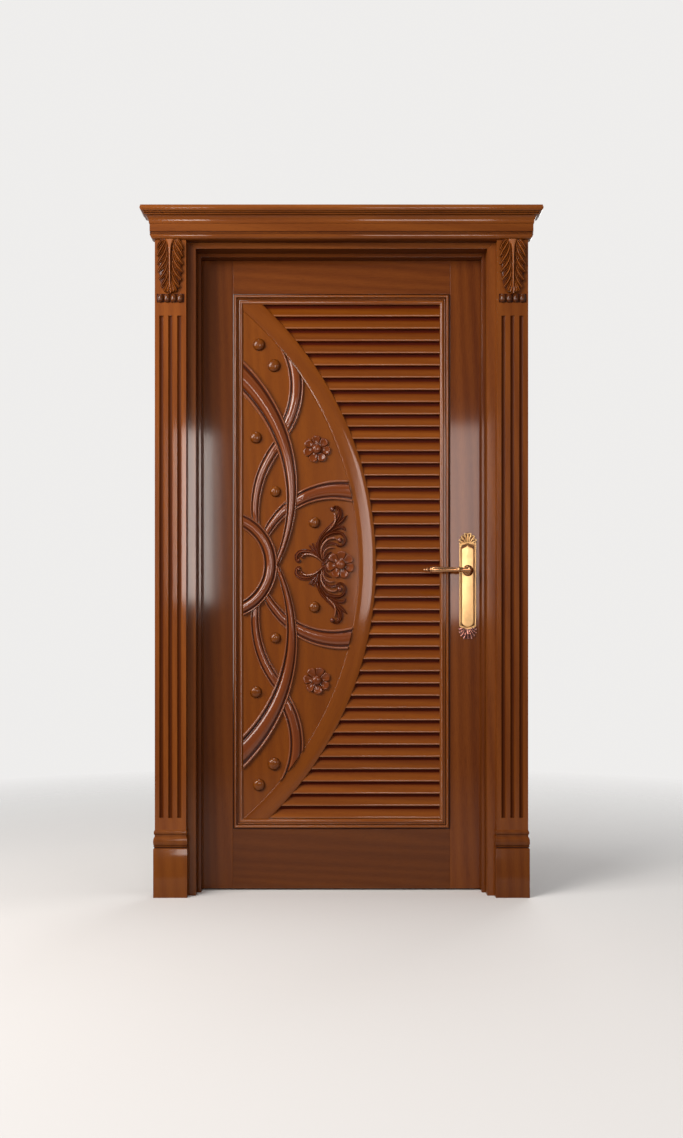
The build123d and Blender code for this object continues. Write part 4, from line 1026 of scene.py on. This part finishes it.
# Handle plate in millimetres from its middle. Each layer has the right half of an outline, the radii of its
# corners, steps round a corner, rings of (distance in, lift, tone), and 1 for the copper of the shell
PLATE = np.array([spindle_x, plate_middle])
CREST_HUB, SHELL_HUB = 130, -131
LEDGE = ((0, 0, 0), (0, 1.5, 0), (.6, 2.0, 0), (1.6, 2.0, 0))
PLATE_LAYERS = (
    (((0, -138), (18, -136), (27.2, -131), (27.2, 134), (18, 139), (0, 141)), (0, 4, 3, 3, 4, 0), 5,
     ((0, 0, .3), (0, 2.2, .5), (.5, 3.1, .85), (1.2, 3.7, .95), (2.6, 3.7, .95), (3.2, 3.1, .4),
      (3.5, 2.5, 0), (4.4, 2.5, 0), (4.7, 3.2, .5), (5.1, 3.5, .70), (5.6, 3.4, .6), (6.0, 2.9, .1),
      (6.2, 2.5, 0), (7.8, 2.5, 0)), 0),
    (((0, -132.8), (9, -130), (16, -125), (19.4, -120.5), (19.4, 117.5), (15, 121.5), (10, 124), (5, 126.2),
      (0, 131.2)), (0, 4, 5, 3, 2, 4, 3, 3, 0), 5,
     ((0, 2.3, 0), (0, 3.6, .25), (.4, 4.7, .8), (1.1, 5.3, 1), (2.6, 5.5, 1)), 0),
    (((0, 130), (26.5, 130), (28.5, 138), (26.2, 147), (22, 156), (15.5, 164), (8, 169.5), (0, 171.2)),
     (0, 3, 4, 4, 4, 4, 3, 0), 4, LEDGE, 0),
    (((0, -171.2), (8.5, -169.5), (16.5, -164), (22.5, -156), (25.8, -145), (25.5, -130), (0, -130)),
     (0, 3, 4, 4, 4, 4, 0), 4, LEDGE, 1),
)


def inset(outline, distance):
    """A closed outline, going round to the left, moved inwards by a distance."""
    ahead = np.roll(outline, -1, axis=0) - outline
    ahead /= np.linalg.norm(ahead, axis=1)[:, None]
    inward = np.stack([-ahead[:, 1], ahead[:, 0]], axis=1)
    middle = inward + np.roll(inward, 1, axis=0)
    middle /= np.maximum((middle**2).sum(axis=1), 0.8)[:, None] / 2
    return outline + middle * distance


def spoke(hand, degrees, reach, z, x=0.0, squash=1.0):
    """A point at an angle and a distance from a hub, on the right or left hand."""
    turn = math.radians(degrees)
    return hand * (x + reach * math.cos(turn)), z + squash * reach * math.sin(turn)


def add_plate(label):
    """Handle plate: double rim, raised panel with a pointed head, leafy crest and shell foot."""
    shape = Shape()
    for half, rounds, steps, rings, slot in PLATE_LAYERS:
        right = rounded(half, rounds, steps)
        outline = np.concatenate([right, right[-2:0:-1] * (-1, 1)])
        n = len(outline)
        last = (len(rings) - 1) * n
        tones = [ring[2] for ring in rings]
        loops = [at_depth(PLATE + inset(outline, d) * MM, leaf_front - h * MM) for d, h, _ in rings]
        faces = grid_faces(len(rings), n, closed=True) + [tuple(range(last, last + n))]
        shape.add(np.concatenate(loops), faces, np.repeat(tones, n), slot=slot)

    def sprig(points, widths, heights, flutes=0, slot=0):
        stroke(shape, PLATE, points, widths, heights, plate_ground, flutes, 18, 11, slot)

    def pearl(place, r, tall, slot=0):
        rows = np.array([(0.0, r)] + dome(0.4 * tall, 0.6 * tall, r, 8, 0.0, 1.53)) * MM
        x, z = PLATE + np.array(place) * MM
        turned(shape, rows, (x, plate_ground, z), TOWARD, 16, np.linspace(0.0, 1.0, 9), slot)

    for hand in (-1, 1):
        for degrees, reach in ((12, 27), (32, 32), (54, 36), (75, 39)):
            ahead = degrees + 16
            root = spoke(hand, degrees, 5, CREST_HUB + 3, x=4)
            waist = spoke(hand, degrees, reach * 0.62, CREST_HUB + 1)
            tip = spoke(hand, degrees, reach, CREST_HUB)
            curl = spoke(hand, ahead, reach - 1, CREST_HUB)
            sprig([root, waist, tip, curl], (2.0, 3.8, 4.2, 2.4), (1.2, 3.2, 3.4, 2.0))
            pearl(spoke(hand, ahead, reach - 5, CREST_HUB), 2.2, 4.0)
        for degrees, reach in ((-18, 29), (-36, 33), (-54, 37), (-72, 40)):
            root = spoke(hand, degrees, 8, SHELL_HUB, squash=0.5)
            waist = spoke(hand, degrees, 0.6 * reach, SHELL_HUB)
            tip = spoke(hand, degrees, reach, SHELL_HUB)
            sprig([root, waist, tip], (1.4, 3.2, 4.2), (1.0, 3.6, 3.2), slot=1)
            pearl(tip, 2.6, 3.4, slot=1)
        sprig([(hand * 24, 126), (hand * 15, 134), (hand * 7, 137), (0, 142)],
              (2.6, 3.4, 3.4, 2.0), (3.2, 4.2, 4.2, 3.6))
        sprig([(hand * 23, -127), (hand * 15, -133), (hand * 7, -137), (0, -139)],
              (2.4, 3.0, 3.0, 2.0), (3.0, 3.8, 3.8, 3.2))
    sprig([(0, 140), (0, 154), (0, 169)], (3.0, 6.0, 4.0), (2.0, 4.2, 3.0), flutes=1)
    sprig([(0, -136), (0, -154), (0, -171)], (2.0, 4.4, 5.4), (1.2, 3.6, 3.0), slot=1)
    if label == "rear":
        shape.mirror_y(leaf_middle)
    metals = [plate_brass, shell_copper]
    shape.piece(f"handle_plate_{label}", metals, "leaf", "plate_brass", [f"{label}_plate"], sharp=35.0)


# Lever: its grip as rows of (distance along it, radius, tone), in millimetres
GRIP = np.array((
    (-6, 7.2, .85), (6, 8.4, .85), (16, 7.6, .85), (29, 7.4, .8), (30.5, 7.8, .3), (31.8, 9.2, .9),
    (33.8, 9.9, 1), (35.8, 9.2, .9), (37.1, 7.8, .3), (38.6, 7.4, .8), (52, 7.6, .85), (68, 8.4, .9),
    (84, 9.5, .9), (98, 10.5, .92), (108, 11.1, .95), (115, 11.3, .95), (119.5, 10.8, .8), (121.2, 9.4, .3),
    (122.4, 10.4, .9), (124, 10.8, 1), (125.6, 10.2, .9), (126.8, 8.2, .4), (128.2, 5.6, .2), (130, 4.4, .2),
    (131.8, 5.6, .7), (134.5, 6.8, .95), (137.2, 5.8, .7), (138.6, 3.6, .2), (139.8, 3.4, .2),
    (141.2, 4.2, .8), (144, 4.4, .95), (146.6, 3.0, .8), (147.8, 0.4, .8),
))


def add_lever(label):
    """Lever: rose, neck, elbow, and a grip that swells to a ring and a small finial."""
    shape = Shape()
    rose = [(0, 0.4), (0, 17.6), (1.4, 18.1), (3.0, 17.8), (4.0, 16.0), (4.4, 15.0), (5.0, 14.6)]
    rose += arc((5.0, 9.0), (3.6, 5.6), 90, 0, 8)[1:]
    rose += [(9.6, 8.6), (12.0, 8.2), (30.0, 8.0), (42.5, 8.2)]
    rose_tone = np.interp(
        np.arange(len(rose)), [0, 2, 3, 5, 6, 7, 11, 17], [0.3, 0.8, 0.6, 0.05, 0.1, 0.8, 0.85, 0.85])
    rose_place = (spindle_x, leaf_front - rose_lift, handle_height)
    turned(shape, np.array(rose) * MM, rose_place, TOWARD, 40, rose_tone)
    elbow = (spindle_x, leaf_front - elbow_lift, handle_height)
    ball = [(along, max(radius, 0.0003)) for along, radius in arc((0, 0), (0.0098, 0.0098), 180, 0, 18)]
    turned(shape, ball, elbow, TOWARD, 32, 0.85)
    turned(shape, GRIP[:, :2] * MM, elbow, (-1, 0, 0), 40, GRIP[:, 2])
    if label == "rear":
        shape.mirror_y(leaf_middle)
    shape.piece(f"lever_{label}", [lever_brass], "handle", "lever_brass", [f"{label}_lever"], sharp=50.0)


for add_part in (add_plate, add_lever):
    for label in ("front", "rear"):
        add_part(label)


# Countersunk screws on the hinges, the lock's face plate and the strike plate
def add_screw(shape, origin, axis, radius):
    """A screw head with a crossed slot."""
    rows = [(-0.0004, 1.02), (0.0001, 1.0), (0.0005, 0.94), (0.0007, 0.6), (0.0007, 0.02)]
    turned(shape, np.array(rows) * (1, radius), origin, axis, 20, np.array([0.1, 0.5, 1.0, 1.0, 1.0]))
    axis, up = np.asarray(axis, float), np.array([0.0, 0.0, 1.0])
    for turn in (0.4, 0.4 + math.pi / 2):
        along = math.cos(turn) * up + math.sin(turn) * np.cross(axis, up)
        length, breadth = along * radius * 0.55, np.cross(axis, along) * radius * 0.1
        face = np.asarray(origin) + axis * 0.00082
        corners = np.array([face + length * a + breadth * b for a, b in ((-1, -1), (1, -1), (1, 1), (-1, 1))])
        shape.add(corners, [(0, 1, 2, 3)], 0.0)


frame_screws, leaf_screws = Shape(), Shape()
for foot in hinge_feet:
    for up, y in ((0.018, 0.038), (0.051, 0.047), (0.084, 0.038)):
        add_screw(frame_screws, (-jamb_x, y, foot + up), (1, 0, 0), screw_radius)
        add_screw(leaf_screws, (-leaf_edge_x, y, foot + up), (-1, 0, 0), screw_radius)
for up in (-0.078, 0.078):
    add_screw(leaf_screws, (leaf_edge_x, leaf_middle, handle_height + up), (1, 0, 0), lock_screw_radius)
for up in (-0.022, 0.022):
    add_screw(frame_screws, (jamb_x, leaf_middle, handle_height + up), (-1, 0, 0), screw_radius)
frame_screws.piece("frame_screws", [screw_brass], "frame", "lock_brass")
leaf_screws.piece("leaf_screws", [screw_brass], "leaf", "lock_brass")

# A plain pale floor that fades into the pale ground behind and in front of the door
mesh = bpy.data.meshes.new("studio_floor")
mesh.from_pydata([(-5, -5, 0), (5, -5, 0), (5, 5, 0), (-5, 5, 0)], [], [(0, 1, 2, 3)])
g = Graph(bpy.data.materials.new("studio_pale"))
g.shade({
    "Base Color": g.mix(g.seen(), (0.14, 0.13, 0.12), (0.66, 0.65, 0.64)),
    "Roughness": 0.7,
    "Specular IOR Level": 0.1,
    "Alpha": g.remap(g.vectors("LENGTH", g.spot())["Value"], 1.0, 3.6, 1.0, 0.0),
})
mesh.materials.append(g.owner)
made = placed("studio_floor", mesh)
made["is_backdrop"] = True

# Soft lamps: place, aim, size, power and colour
for name, place, aim, size, power, colour in (
    ("key_left", (-2.2, -3.0, 3.3), (0.0, 0.0, 1.5), (1.4, 1.4), 96.0, (1.0, 0.97, 0.93)),
    ("window_side", (-3.0, -2.1, 2.2), (0.0, 0.0, 1.9), (2.0, 1.7), 118.0, (1.0, 0.93, 0.88)),
    ("top_soft", (0.2, -0.35, 4.7), (0.0, 0.0, 1.0), (2.6, 0.8), 70.0, (1.0, 1.0, 1.0)),
    ("fill_right", (3.2, -3.6, 1.8), (0.0, 0.0, 1.0), (1.4, 2.2), 14.0, (1.0, 0.96, 0.95)),
    ("window_right", (0.62, -5.2, 1.72), (0.62, 0.0, 1.72), (0.95, 1.5), 54.0, (1.0, 0.84, 0.78)),
    ("window_left", (-1.12, -5.2, 1.75), (-1.12, 0.0, 1.75), (0.26, 1.3), 22.0, (1.0, 0.90, 0.84)),
    ("rear_soft", (1.5, 3.4, 3.4), (0.0, 0.0, 1.1), (2.4, 2.0), 70.0, (1.0, 1.0, 1.0)),
):
    lamp = bpy.data.lights.new(name, "AREA")
    lamp.shape = "RECTANGLE"
    lamp.size, lamp.size_y = size
    lamp.energy = power
    lamp.color = colour
    made = placed(name, lamp)
    made.location = place
    made.rotation_euler = (Vector(aim) - Vector(place)).to_track_quat("-Z", "Y").to_euler()

# World: dim light on the object and a pale ground in the picture. Mirrored in the door, the ground is pale
# behind it and dimmer in the room in front
world = bpy.data.worlds.new("studio_world")
bpy.context.scene.world = world
g = Graph(world)
ambient = g.tree.nodes["Background"]
g.fill(ambient, {"Color": (0.95, 0.94, 0.93), "Strength": 0.11})
facing = g.node("ShaderNodeSeparateXYZ", {0: g.node("ShaderNodeTexCoord")["Generated"]})[1]
room = g.remap(facing, -0.4, 0.4, 0.22, 1.0)
strength = g.math("MAXIMUM", g.node("ShaderNodeLightPath")["Is Camera Ray"], room)
pale = g.node("ShaderNodeBackground", {"Color": (0.86, 0.85, 0.84), "Strength": strength})[0]
chosen = g.node("ShaderNodeMixShader", {0: g.seen(), 1: ambient.outputs[0], 2: pale})[0]
g.fill(g.tree.nodes["World Output"], {"Surface": chosen})

camera_data = bpy.data.cameras.new("camera")
camera_data.sensor_width = 36.0
camera_data.lens = 36.5
camera_data.shift_y = 0.062
camera_data.dof.use_dof = False
camera = placed("camera", camera_data)
camera.location = (0.0, -3.7025, 0.808)
camera.rotation_euler = (math.pi / 2, 0.0, 0.0)
bpy.context.scene.camera = camera
bpy.context.scene.view_settings.view_transform = "Standard"

low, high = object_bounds()
